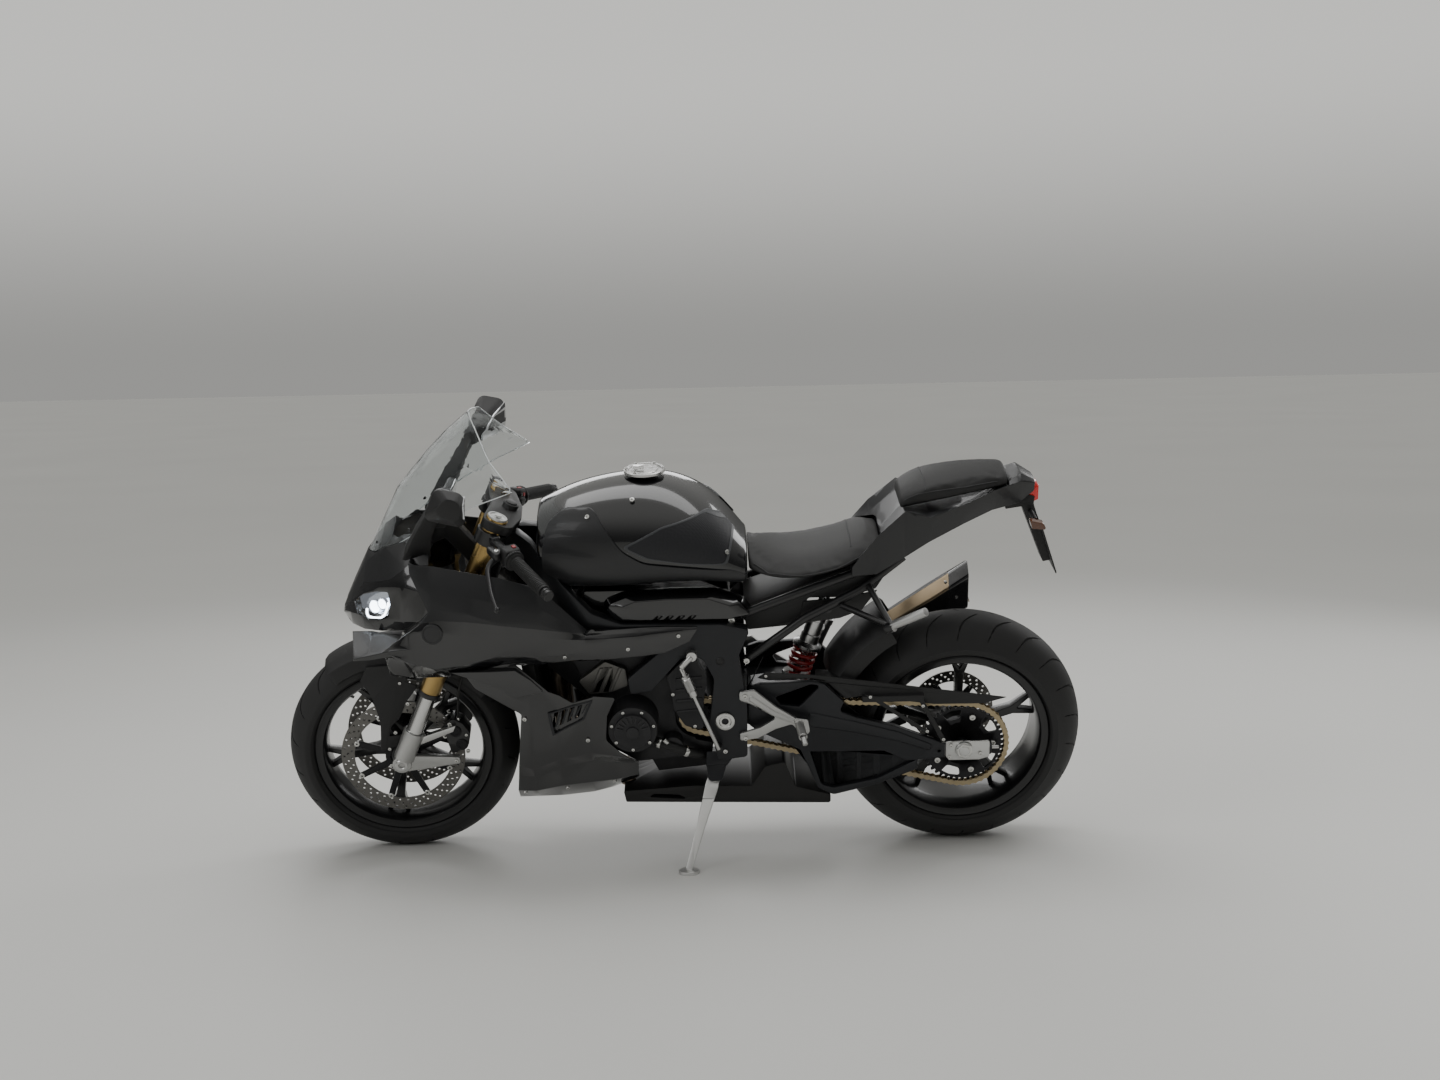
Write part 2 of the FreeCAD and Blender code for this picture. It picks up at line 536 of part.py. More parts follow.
def engine_block():
    """Crankcase, leaning cylinders with their cam cover, round side covers and the final drive."""
    block = side_plate([(455, 600), (560, 640), (700, 610), (735, 500), (800, 470), (824, 400), (812, 310),
                        (620, 290), (540, 340), (520, 450)], -118, 118)
    head_block = side_plate([(400, 560), (470, 690), (640, 640), (600, 540), (500, 470)], -112, 112)
    cam_cover = side_plate([(478, 530, 8), (508, 552, 8), (547, 582, 8), (598, 560, 8), (604, 515, 8),
                            (563, 498, 8), (505, 492, 8)], -138, 138)
    cover_ribs = [side_plate([(x, 500), (x + 8, 500), (x + 36, 566), (x + 28, 566)], -142, 142)
                  for x in (506, 530, 554)]
    sump = side_plate([(640, 300), (812, 310), (800, 250), (670, 236)], -70, 70)
    pieces = [block, head_block, cam_cover, sump] + cover_ribs
    # round covers: x, z, radius, inner face y, outer face y
    for x, z, radius, y_from, y_to in ((614, 420, 62, -118, -200), (614, 420, 46, -200, -212),
                                       (614, 420, 16, -212, -218), (712, 350, 26, -118, -158),
                                       (690, 400, 88, 118, 190), (690, 400, 62, 190, 204),
                                       (590, 420, 50, 118, 168), (590, 420, 30, 168, 176)):
        pieces.append(rod((x, y_from, z), (x, y_to, z), radius))
    engine = fuse(pieces)
    shaft = Vector(FRONT_SPROCKET[0], 0, FRONT_SPROCKET[1])
    chain_side = CHAIN_OFFSET + CHAIN_ROOM
    chain_room = ring_solid(shaft, pitch_radius(FRONT_SPROCKET_TEETH) + 16, 15, -chain_side,
                            -CHAIN_OFFSET + CHAIN_ROOM)
    band_room = side_plate([(770, 350), (770, 480), (900, 480), (900, 320)], -chain_side,
                           -CHAIN_OFFSET + CHAIN_ROOM)
    engine = cut(engine, [chain_room, band_room])
    tip = pitch_radius(FRONT_SPROCKET_TEETH) - CHAIN_ROLLER_RADIUS - SPROCKET_CLEARANCE
    drive = sprocket(shaft, FRONT_SPROCKET_TEETH, -CHAIN_OFFSET, SPROCKET_THICKNESS, 12, tip, tip - 8)
    hub = rod((shaft.x, -chain_side + 4, shaft.z), (shaft.x, -SPAR_INSIDE + 50, shaft.z), 16)
    cover_face = chain_side + 0.3
    cover = side_plate([(712, 500, 20), (716, 450, 14), (745, 402, 14), (792, 388, 10), (794, 470, 20),
                        (804, 530, 20), (778, 588, 20), (744, 586, 20), (700, 540, 20)],
                       -cover_face - 22, -cover_face)
    cover_foot = side_plate([(712, 500), (716, 450), (730, 450), (730, 500)], -cover_face - 4, -116)
    ledges = [side_plate([(724, z), (790, z + 6), (790, z + 12), (724, z + 6)], -cover_face - 26,
                         -cover_face - 20) for z in (440, 470, 500, 530)]
    return fuse([engine, drive, hub, cover, cover_foot] + ledges)


def airbox_piece(tank_shell, carriers):
    """The airbox under the tank, with a rounded cowl each side above the spar, cut by four slats."""
    box = side_plate([(460, 640, 10), (900, 640, 10), (900, 700), (860, 764, 10), (500, 764, 10)], -112, 112)
    cowls = []
    for side in SIDES:
        wires = []
        for y, pull in ((108, 0.0), (146, 0.06), (160, 0.22)):
            points = [(x + (740 - x) * pull, z + (715 - z) * pull, *corner)
                      for x, z, *corner in AIRBOX_COWL]
            wires.append(rounded_wire(points, lambda p, y=y: Vector(p.x, side * y, p.y)))
        cowl = loft(wires)
        slats = [side_plate([(x, 697), (x + 14, 697), (x + 30, 712), (x + 16, 712)],
                            *sorted((side * 150, side * 170))) for x in (668, 696, 724, 752)]
        cowls.append(cut(cowl, slats))
    airbox = cut(fuse([box] + cowls), [tank_shell] + carriers)
    return max(airbox.Solids, key=lambda s: s.Volume)


def battery_box_piece(subframe, tail):
    """Battery box and undertray, closed in between the seat rails above the rear wheel."""
    tray = side_plate([(905, 640, 10), (1035, 652, 10), (1062, 724, 10), (1160, 724, 10), (1232, 745, 10),
                       (1296, 846), (1236, 832), (1084, 772), (900, 706)], -88, 88)
    wing = side_plate([(1035, 655, 6), (1141, 668, 6), (1196, 688, 10), (1236, 742), (1160, 724),
                       (1050, 716)], 86, 92)
    battery_box = cut(fuse([tray, wing, mirrored(wing)]), [subframe, tail])
    return max(battery_box.Solids, key=lambda s: s.Volume)


def exhaust_pieces(engine):
    ports = (-84, -28, 28, 84)
    pipes = []
    for i, y in enumerate(ports):
        x = 412 + 4 * abs(i - 1.5)
        pipes.append(bent_tube([(448, y, 590), (x, y, 520), (x + 10, y * 0.9, 330),
                                (500, y * 0.6, 246), (600, y * 0.5, 190)], 17))
    box = side_plate([(578, 200, 4), (584, 168, 4), (1118, 154, 6), (1118, 178, 4), (1026, 204, 8),
                      (1000, 276, 10), (948, 264, 10), (912, 208, 10), (760, 212, 20)], -112, 112)
    slot = side_plate([(643, 181, 2), (658, 190, 4), (722, 186, 4), (745, 173, 2)], -120, 120)
    link = bent_tube([(1000, 80, 190), (1030, 176, 250), (1160, 188, 430),
                      (SILENCER_STATIONS[0][0], SILENCER_OFFSET, SILENCER_STATIONS[0][1])], 24)
    collector = fuse(pipes + [box.cut(slot), link]).cut(engine)
    wires = []
    for x, middle, half_height, half_width in SILENCER_STATIONS:
        y = SILENCER_OFFSET
        section = [(y - half_width, middle - half_height * 0.7, 14),
                   (y - half_width, middle + half_height * 0.6, 14),
                   (y - half_width * 0.3, middle + half_height, 10),
                   (y + half_width * 0.7, middle + half_height * 0.7, 14),
                   (y + half_width, middle - half_height * 0.4, 14),
                   (y + half_width * 0.4, middle - half_height, 14)]
        wires.append(rounded_wire(section, lambda p, x=x: Vector(x, p.x, p.y)))
    silencer = loft(wires)
    outlet = rod((1470, SILENCER_OFFSET, 600), (1530, SILENCER_OFFSET, 620), 22)
    return {"exhaust_headers": collector, "silencer": cut(silencer, [collector, outlet])}


def loop_point(distance, centres, radii):
    """Point and outward way on a belt round two wheels, at a distance along it from the front top."""
    front, rear = centres
    low, high = radii
    span = rear - front
    way = math.atan2(span.z, span.x)
    lead = math.acos((low - high) / span.Length)
    straight = math.sqrt(span.Length ** 2 - (high - low) ** 2)
    rear_arc = high * 2 * lead
    front_arc = low * 2 * (math.pi - lead)
    top = way + lead
    bottom = way - lead
    distance %= 2 * straight + rear_arc + front_arc
    if distance < straight:
        share = distance / straight
        base = front + (rear - front) * share
        return base, low + (high - low) * share, top
    distance -= straight
    if distance < rear_arc:
        return rear, high, top - distance / high
    distance -= rear_arc
    if distance < straight:
        share = 1 - distance / straight
        base = front + (rear - front) * share
        return base, low + (high - low) * share, bottom
    distance -= straight
    return front, low, bottom - distance / low


def loop_length(centres, radii):
    span = (centres[1] - centres[0]).Length
    low, high = radii
    lead = math.acos((low - high) / span)
    return 2 * math.sqrt(span ** 2 - (high - low) ** 2) + 2 * lead * high + 2 * (math.pi - lead) * low


def chain_piece():
    """Two rows of waisted link plates on rollers, one closed loop of whole links."""
    centres = (Vector(FRONT_SPROCKET[0], 0, FRONT_SPROCKET[1]), REAR_AXLE)
    radii = (pitch_radius(FRONT_SPROCKET_TEETH), pitch_radius(REAR_SPROCKET_TEETH))
    length = loop_length(centres, radii)
    links = 2 * round(length / CHAIN_PITCH / 2)
    step = length / links

    def place(distance, rise):
        base, radius, angle = loop_point(distance, centres, radii)
        return base + Vector(math.cos(angle), 0, math.sin(angle)) * (radius + rise)

    def strip_edge(rise_at_pin, rise_at_waist):
        corners = []
        for i in range(links):
            corners.append(place(i * step, rise_at_pin))
            corners.append(place((i + 0.5) * step, rise_at_waist))
        return Part.makePolygon(corners + [corners[0]])

    half = CHAIN_HEIGHT / 2
    outside = Part.Face(strip_edge(half, 0.6 * half))
    inside = Part.Face(strip_edge(-half, -0.6 * half))
    strip = outside.cut(inside)
    plates = []
    for y in (-CHAIN_OFFSET - CHAIN_WIDTH / 2, -CHAIN_OFFSET + CHAIN_WIDTH / 2 - LINK_THICKNESS):
        plate = strip.copy()
        plate.translate(Vector(0, y, 0))
        plates.append(plate.extrude(Vector(0, LINK_THICKNESS, 0)))
    rollers = []
    for i in range(links):
        centre = place(i * step, 0)
        corners = [Vector(centre.x + CHAIN_ROLLER_RADIUS * math.cos(math.radians(60 * k)),
                          -CHAIN_OFFSET - CHAIN_WIDTH / 2 + 1,
                          centre.z + CHAIN_ROLLER_RADIUS * math.sin(math.radians(60 * k)))
                   for k in range(6)]
        face = Part.Face(Part.makePolygon(corners + [corners[0]]))
        rollers.append(face.extrude(Vector(0, CHAIN_WIDTH - 2, 0)))
    return plates[0].multiFuse(plates[1:] + rollers)


def rear_end_pieces():
    plate = ARM_PLATE
    outside = ARM_INSIDE
    face = outside + plate
    pivot_x, pivot_z = SWINGARM_PIVOT
    beam = side_plate([(905, 500, 16), (940, 512, 10), (1068, 516, 10), (1100, 508, 8), (1150, 457, 8),
                       (1139, 430, 10), (1183, 412, 10), (1281, 386, 10), (1400, 336, 20), (1530, 334, 6),
                       (1530, 300, 6), (1382, 292), (1313, 286), (1253, 316, 20), (1049, 318, 20),
                       (930, 380, 20), (905, 400, 20)], -face, -outside)
    gusset_window = side_plate([(975, 474, 6), (1066, 508, 6), (1090, 503, 6), (1037, 446, 8), (988, 452, 8)],
                               -face - 1, -outside + 1)
    spine = side_plate([(1060, 432, 8), (1180, 402), (1290, 370), (1376, 332, 8), (1370, 316, 8),
                        (1290, 344), (1180, 372), (1060, 392, 8)], -face - 3, -face)
    left_arm = fuse([beam.cut(gusset_window), spine])
    right_arm = mirrored(left_arm)
    block = side_plate(about(REAR_AXLE, [(-46, 22, 4), (66, 22, 4), (66, -24, 4), (40, -32, 4),
                                         (-38, -32, 4), (-46, -20, 4)]), -face - 7, -face)
    nut = rod((REAR_AXLE.x, -face - 16, REAR_AXLE.z), (REAR_AXLE.x, -face - 7, REAR_AXLE.z), 22)
    adjuster = rod((REAR_AXLE.x + 60, -face + plate / 2, REAR_AXLE.z - 3),
                   (REAR_AXLE.x + 92, -face + plate / 2, REAR_AXLE.z - 3), 5)
    pivot = rod((pivot_x, -outside + 2, pivot_z), (pivot_x, outside - 2, pivot_z), 20)
    bridge = side_plate([(900, 450, 10), (1040, 440, 10), (1090, 400, 10), (1060, 350, 10), (900, 380, 10)],
                        -CHAIN_OFFSET + 12, outside)
    link = side_plate([(830, 440), (860, 446), (930, 452), (930, 392), (860, 404), (830, 410)],
                      -CHAIN_OFFSET + 12, CHAIN_OFFSET - 12)
    shelf = side_plate([(905, 500, 20), (973, 510, 20), (1061, 486, 20), (905, 478, 20)], -outside, -60)
    chain_wall = side_plate([(920, 430), (920, 490), (1030, 490), (1030, 430)],
                            -CHAIN_OFFSET + CHAIN_ROOM, -60)
    brace = side_plate([(1036, 330), (1083, 214, 20), (1123, 192, 20), (1237, 220), (1340, 262),
                        (1340, 290), (1237, 236), (1123, 212, 20), (1092, 222, 20), (1060, 330)],
                       -face, -outside)
    axle = rod((WHEELBASE, -face - 22, REAR_TYRE_RADIUS), (WHEELBASE, face + 22, REAR_TYRE_RADIUS),
               AXLE_BORE - 0.3)
    axle_hole = rod((WHEELBASE, -200, REAR_TYRE_RADIUS), (WHEELBASE, 200, REAR_TYRE_RADIUS), AXLE_BORE)
    spool_hole = rod((SPOOL_HOLE[0], -200, SPOOL_HOLE[1]), (SPOOL_HOLE[0], 200, SPOOL_HOLE[1]),
                     SPOOL_HOLE_RADIUS)
    swingarm = fuse([left_arm, right_arm, pivot, bridge, link, shelf, chain_wall, brace, mirrored(brace),
                     block, mirrored(block), adjuster, mirrored(adjuster)])
    swingarm = fuse([cut(swingarm, [axle_hole, spool_hole]), axle, nut, mirrored(nut)])

    body = rod((1096, 20, 640), (1048, 20, 500), 24)
    coils = [rod((1064 - 6 * i, 20, 545 - 17 * i), (1061 - 6 * i, 20, 536 - 17 * i), 36) for i in range(5)]
    foot = rod((1040, 20, 480), (1022, 20, 430), 13)
    top_eye = rod((1090, 20, 620), (SHOCK_MOUNT[0], 20, SHOCK_MOUNT[1]), 13)
    reservoir = rod((1120, 66, 610), (1080, 66, 520), 22)
    core = rod((1066, 20, 552), (1035, 20, 468), 26)
    shock = fuse([body, core, foot, top_eye, reservoir, rod((1100, 20, 596), (1104, 70, 590), 12)] + coils)
    shock = cut(shock, [swingarm, rod((SHOCK_MOUNT[0], -130, SHOCK_MOUNT[1]),
                                      (SHOCK_MOUNT[0], 130, SHOCK_MOUNT[1]), 9)])

    crown = [(y, REAR_TYRE_RADIUS + rise) for y, rise in HUGGER_CROWN]
    hugger = wheel_cover(REAR_AXLE, crown, PANEL, -62, -31)
    over_chain = side_plate([(1080, 508), (1180, 502), (1180, 508), (1080, 514)], -outside - 6, -60)
    over_chain = over_chain.cut(wheel_room(REAR_AXLE, crown, 200))
    right_tab = side_plate([(1130, 405), (1166, 524), (1198, 508), (1176, 405)], crown[-1][0], outside)
    guard = side_plate([(931, 524), (952, 540), (1088, 528), (1291, 496), (1565, 456), (1507, 440),
                        (1380, 441), (1195, 468), (1154, 462), (1104, 513), (1066, 520), (960, 517)],
                       -outside - 6, -outside - 2)
    struts = [side_plate(points, -face - 7, -face - 3)
              for points in ([(1200, 480), (1222, 476), (1366, 372), (1356, 366)],
                             [(1338, 462), (1352, 458), (1412, 345), (1400, 340)])]
    strut_roof = top_plate([(1196, -face - 7), (1352, -face - 7), (1352, -outside - 2), (1196, -outside - 2)],
                           458, 474)
    hugger_shape = fuse([hugger, over_chain, guard, right_tab, strut_roof] + struts).cut(swingarm)
    caliper = side_plate([(1336, 290, 8), (1350, 274, 8), (1388, 284, 8), (1392, 350, 8), (1342, 364, 8)],
                         REAR_DISC_OFFSET - 18, outside)
    caliper = caliper.cut(ring_solid(REAR_AXLE, REAR_DISC_RADIUS + 6, 30, REAR_DISC_OFFSET - 9.5,
                                     REAR_DISC_OFFSET + 9.5))
    return {"swingarm": swingarm, "shock_absorber": shock, "rear_hugger": hugger_shape,
            "rear_caliper": caliper, "chain": chain_piece()}


# Tank and seats

# columns: x, then right-half points (y, z): top middle, shoulder, side, waist, bottom edge
TANK_STATIONS = [
    (388, [(0, 968), (60, 956), (105, 920), (128, 850), (110, 770)]),
    (470, [(0, 1008), (80, 992), (138, 960), (165, 860), (140, 770)]),
    (580, [(0, 1036), (95, 1015), (160, 960), (188, 870), (165, 775)]),
    (693, [(0, 1045), (100, 1022), (165, 965), (192, 880), (170, 785)]),
    (790, [(0, 1012), (92, 992), (150, 950), (182, 870), (168, 790)]),
    (860, [(0, 946), (78, 930), (125, 900), (160, 850), (160, 780)]),
    (912, [(0, 880), (60, 868), (95, 856), (125, 830), (135, 775)]),
]
COVER_STEP = 5.0
COVER_OUTLINE = [(404, 880), (420, 946, 14), (462, 980, 10), (534, 988, 16), (560, 950, 20), (604, 893, 30),
                 (656, 862, 24), (777, 845), (872, 830), (914, 806), (914, 732), (828, 765), (722, 777),
                 (561, 759), (508, 764), (404, 830)]
PAD_OUTLINE = [(606, 903, 12), (700, 948, 20), (811, 970, 20), (884, 925, 12), (862, 846, 12),
               (760, 858, 30), (662, 876, 20)]
# corner radii of the tank's section, from the shoulder to the waist
TANK_CORNERS = (70, 60, 50, 12)
SEAT_CORNERS = (40, 22, 6)


def grown(stations, amount):
    return [(x, [(y + (amount if y > 0 else 0), z + amount * (0.7 if y < 100 else 0.0))
                 for y, z in half]) for x, half in stations]


def rounded_form(stations, corners):
    """A solid body through whole sections with rounded corners, radii from the shoulder down."""
    wires = []
    for x, half in stations:
        right = [(y, z, radius) for (y, z), radius in zip(half[1:], corners)]
        left = [(-y, z, radius) for y, z, radius in reversed(right)]
        wires.append(rounded_wire(right + left + [(0, half[0][1], 300)],
                                  lambda p, x=x: Vector(x, p.x, p.y)))
    return loft(wires)


def tank_pieces(frame):
    form = rounded_form(TANK_STATIONS, TANK_CORNERS)
    shell = rounded_form(grown(TANK_STATIONS, COVER_STEP), TANK_CORNERS)
    layer = shell.cut(form)
    covers = layer.common(fuse([side_plate(COVER_OUTLINE, 60, 220), side_plate(COVER_OUTLINE, -220, -60)]))
    pads = layer.common(fuse([side_plate(PAD_OUTLINE, 60, 220), side_plate(PAD_OUTLINE, -220, -60)]))
    pads = pads.cut(covers)
    covers = covers.cut(frame)
    room = side_plate([(300, 700), (300, 880), (420, 860), (470, 775), (560, 770), (560, 700)], -240, 240)
    cap = Part.makeCylinder(CAP_RADIUS, 8, Vector(659, 0, 1039), Vector(-0.02, 0, 1))
    tank = cut(form, [room, frame])
    return {"fuel_tank": tank.cut(cap), "filler_cap": cap, "tank_side_covers": covers, "knee_pads": pads}


RIDER_SEAT = [
    (913, [(0, 866), (60, 860), (105, 838), (120, 805)]),
    (960, [(0, 838), (90, 834), (140, 815), (150, 792)]),
    (1040, [(0, 832), (105, 829), (160, 808), (164, 796)]),
    (1130, [(0, 850), (105, 846), (156, 826), (160, 812)]),
    (1200, [(0, 884), (92, 878), (134, 856), (140, 838)]),
    (1245, [(0, 888), (80, 880), (112, 866), (118, 852)]),
]
PILLION_SEAT = [
    (1290, [(0, 985), (58, 980), (84, 970), (92, 950)]),
    (1330, [(0, 1016), (72, 1010), (98, 996), (104, 960)]),
    (1450, [(0, 1036), (74, 1030), (100, 1012), (106, 985)]),
    (1560, [(0, 1040), (50, 1034), (70, 1018), (76, 1002)]),
]
TAIL = [
    (1168, [(0, 838), (118, 834), (150, 828), (146, 800)]),
    (1230, [(0, 850), (112, 880), (142, 905), (136, 802)]),
    (1300, [(0, 940), (96, 952), (132, 966), (114, 836)]),
    (1362, [(0, 948), (104, 950), (124, 944), (104, 872)]),
    (1450, [(0, 962), (100, 968), (110, 972), (90, 914)]),
    (1520, [(0, 985), (86, 992), (94, 1000), (74, 942)]),
    (1592, [(0, 1030), (44, 1028), (62, 1012), (50, 952)]),
    (1630, [(0, 1008), (30, 1006), (40, 1000), (34, 978)]),
]


def seat_pieces(subframe):
    tail = whole_form(TAIL)
    rider = rounded_form(RIDER_SEAT, SEAT_CORNERS)
    pillion = rounded_form(PILLION_SEAT, SEAT_CORNERS)
    tail = cut(tail, [rounded_form(grown(RIDER_SEAT, 2), SEAT_CORNERS), rider, pillion, subframe])
    tail = max(tail.Solids, key=lambda s: s.Volume)
    light = side_plate([(1588, 956), (1642, 990), (1642, 952), (1612, 938)], -28, 28).cut(tail)
    holder = fuse([side_plate([(1560, 960), (1600, 972), (1632, 962), (1630, 940), (1560, 930)], -34, 34),
                   side_plate([(1596, 950), (1626, 955), (1682, 790), (1660, 786)], -30, 30)])
    number = side_plate([(1640, 905), (1643, 905), (1688, 770), (1685, 770)], -75, 75)
    stalk = fuse([rod((1622, 20, 925), (1626, 110, 918), 6),
                  side_plate([(1606, 930, 4), (1640, 922, 6), (1648, 905, 4), (1612, 908, 4)], 96, 124)])
    holder = cut(fuse([holder, number, stalk, mirrored(stalk)]), [tail, light])
    return {"rider_seat": rider, "pillion_seat": pillion, "tail_fairing": tail, "tail_light": light,
            "plate_holder": holder}


# Fairings

# columns: x, then right-side points (y, z) from the top edge down
NOSE_STATIONS = [
    (-118, [(0, 716), (22, 712), (38, 704), (44, 696), (34, 688), (0, 683)]),
    (-90, [(0, 774), (34, 762), (66, 736), (88, 712), (82, 678), (0, 668)]),
    (-50, [(0, 852), (52, 832), (100, 768), (124, 716), (128, 682), (0, 656)]),
    (0, [(0, 918), (86, 880), (132, 796), (156, 718), (162, 690), (0, 652)]),
    (60, [(0, 958), (120, 905), (174, 812), (192, 726), (190, 702), (0, 650)]),
    (130, [(0, 985), (160, 882), (206, 802), (224, 738), (218, 722), (0, 650)]),
]
# columns: x, then points (y, z): top, upper side, crease, widest, lower lip, tucked edge, inner edge
SIDE_STATIONS = [
    (20, [(150, 850), (168, 806), (190, 762), (226, 712), (262, 676), (206, 590), (190, 578)]),
    (80, [(186, 878), (204, 822), (218, 776), (240, 722), (255, 642), (198, 576), (182, 568)]),
    (140, [(190, 870), (214, 812), (226, 772), (244, 716), (247, 620), (192, 574), (178, 568)]),
    (220, [(198, 856), (222, 802), (236, 762), (245, 705), (242, 629), (196, 586), (182, 580)]),
    (300, [(205, 842), (228, 786), (241, 735), (244, 690), (238, 650), (207, 612), (194, 604)]),
    (400, [(200, 810), (222, 766), (232, 725), (236, 690), (228, 640), (212, 614), (206, 606)]),
    (510, [(182, 690), (192, 684), (200, 680), (206, 672), (206, 640), (202, 620), (198, 612)]),
    (640, [(173, 692), (177, 686), (182, 680), (187, 670), (188, 646), (186, 626), (184, 610)]),
    (790, [(173, 694), (174, 690), (175, 686), (177, 682), (177, 668), (176, 655), (175, 640)]),
]
SIDE_OUTLINE = [(84, 884), (100, 872, 6), (170, 868, 20), (264, 848, 20), (335, 836, 20), (402, 808, 20),
                (470, 738), (516, 690, 10), (575, 688), (703, 690), (786, 688, 4), (763, 650), (701, 622, 8),
                (645, 616), (520, 611), (452, 616), (372, 606), (330, 580), (240, 550), (60, 550),
                (0, 600), (20, 676), (58, 701), (104, 734), (130, 762), (86, 852)]
SIDE_RETURN = [(84, 884), (90, 884), (92, 853), (136, 762), (108, 731), (60, 697), (58, 701), (104, 734),
               (130, 762), (86, 852)]
# columns: x, then points (y, z): top, side, duct, step's upper and lower edge, bilge, floor, middle
LOWER_STATIONS = [
    (180, [(190, 612), (196, 585), (198, 565), (192, 530), (190, 522), (188, 514), (180, 506), (170, 500)]),
    (311, [(204, 640), (214, 580), (212, 520), (196, 330), (184, 292), (176, 244), (140, 206), (0, 204)]),
    (360, [(208, 640), (220, 570), (216, 500), (204, 318), (186, 286), (184, 246), (140, 206), (0, 203)]),
    (430, [(212, 640), (222, 560), (218, 490), (206, 348), (184, 312), (188, 262), (140, 208), (0, 204)]),
    (504, [(210, 640), (222, 550), (216, 480), (204, 362), (180, 326), (184, 268), (136, 214), (0, 208)]),
    (570, [(206, 640), (214, 545), (210, 480), (200, 348), (176, 318), (178, 272), (126, 226), (0, 220)]),
    (640, [(200, 640), (206, 545), (202, 480), (192, 330), (168, 312), (164, 280), (112, 248), (0, 242)]),
]
LOWER_OUTLINE = [(188, 604), (226, 545, 20), (290, 506, 30), (338, 476, 10), (328, 387, 60), (313, 245, 10),
                 (311, 200), (504, 200, 10), (560, 226), (622, 256), (624, 322, 8), (585, 353, 20),
                 (546, 396, 20), (552, 466, 20), (575, 516, 6), (524, 524, 6), (467, 508, 10), (436, 530),
                 (409, 541, 4), (372, 578), (331, 612), (263, 640), (188, 640)]
DUCT_VENT = [(404, 480, 4), (414, 418, 6), (445, 436), (496, 462, 6), (520, 516, 4), (467, 502, 6)]
VANE = [(150, 604), (263, 604), (331, 606, 10), (372, 576, 10), (407, 540, 4), (326, 520, 10), (286, 552, 20)]


def headlamp_window(y_from, y_to):
    return side_plate([(-80, 738), (-52, 764, 4), (-13, 781, 6), (21, 788, 4), (26, 758), (19, 734, 4),
                       (-1, 719, 6), (-37, 713, 6), (-68, 715, 4)], y_from, y_to)


def winglet():
    """The small wing that leads out of the side panel's prow, thicker towards its root."""
    # columns: inner x, y, z, outer x, y, z, thickness
    wires = []
    for ix, iy, iz, ox, oy, oz, thickness in (
            (-71, 172, 696, -52, 275, 665, 6), (-25, 160, 690, -14, 271, 671, 12),
            (56, 202, 692, 30, 260, 676, 15), (112, 214, 694, 92, 246, 676, 15)):
        inner = Vector(ix, iy, iz)
        outer = Vector(ox, oy, oz)
        down = Vector(0, 0, -thickness)
        wires.append(Part.makePolygon([inner, outer, outer + down, inner + down, inner]))
    return loft(wires)


def side_panel(nose_form, frame):
    """The upper side fairing, with the return along its front edge that lies on the nose."""
    panel = skin(SIDE_STATIONS, PANEL).common(side_plate(SIDE_OUTLINE, 60, 300))
    filled = []
    for x, line in SIDE_STATIONS:
        ring = [Vector(x, y, z) for y, z in line + [(0, line[-1][1]), (0, line[0][1])]]
        filled.append(Part.makePolygon(ring + [ring[0]]))
    edge_return = side_plate(SIDE_RETURN, 150, 300).common(loft(filled))
    panel = fuse([panel, edge_return, winglet()])
    panel = cut(panel, [nose_form, frame])
    return max(panel.Solids, key=lambda s: s.Volume)


def lower_panel(side):
    """The lower fairing of one side, with its duct vane, slatted vent and the strut up to the side panel."""
    pipe_room = side_plate([(498, 190), (498, 262), (660, 262), (660, 190)], -118, 118)
    shell = skin(LOWER_STATIONS, PANEL).common(side_plate(LOWER_OUTLINE, GAP / 2, 300)).cut(pipe_room)
    slots = [side_plate([(412 + 20 * i, 436 + 9 * i), (422 + 20 * i, 441 + 9 * i), (432 + 20 * i, 486 + 5 * i),
                         (422 + 20 * i, 484 + 5 * i)], 150, 260) for i in range(4)]
    shell = shell.cut(fuse(slots).common(side_plate(DUCT_VENT, 150, 260)))
    wires = []
    for y, pull in ((209, 0.0), (224, 0.12)):
        points = [(x + (330 - x) * pull, z + (570 - z) * pull, *corner) for x, z, *corner in VANE]
        wires.append(rounded_wire(points, lambda p, y=y: Vector(p.x, y, p.y)))
    strut = side_plate([(396, 616), (410, 616), (453, 562), (538, 608), (560, 608), (452, 546), (438, 522),
                        (428, 532), (440, 556)], 196, 216)
    lower = fuse([shell, loft(wires), strut]).cut(side)
    return max(lower.Solids, key=lambda s: s.Volume)


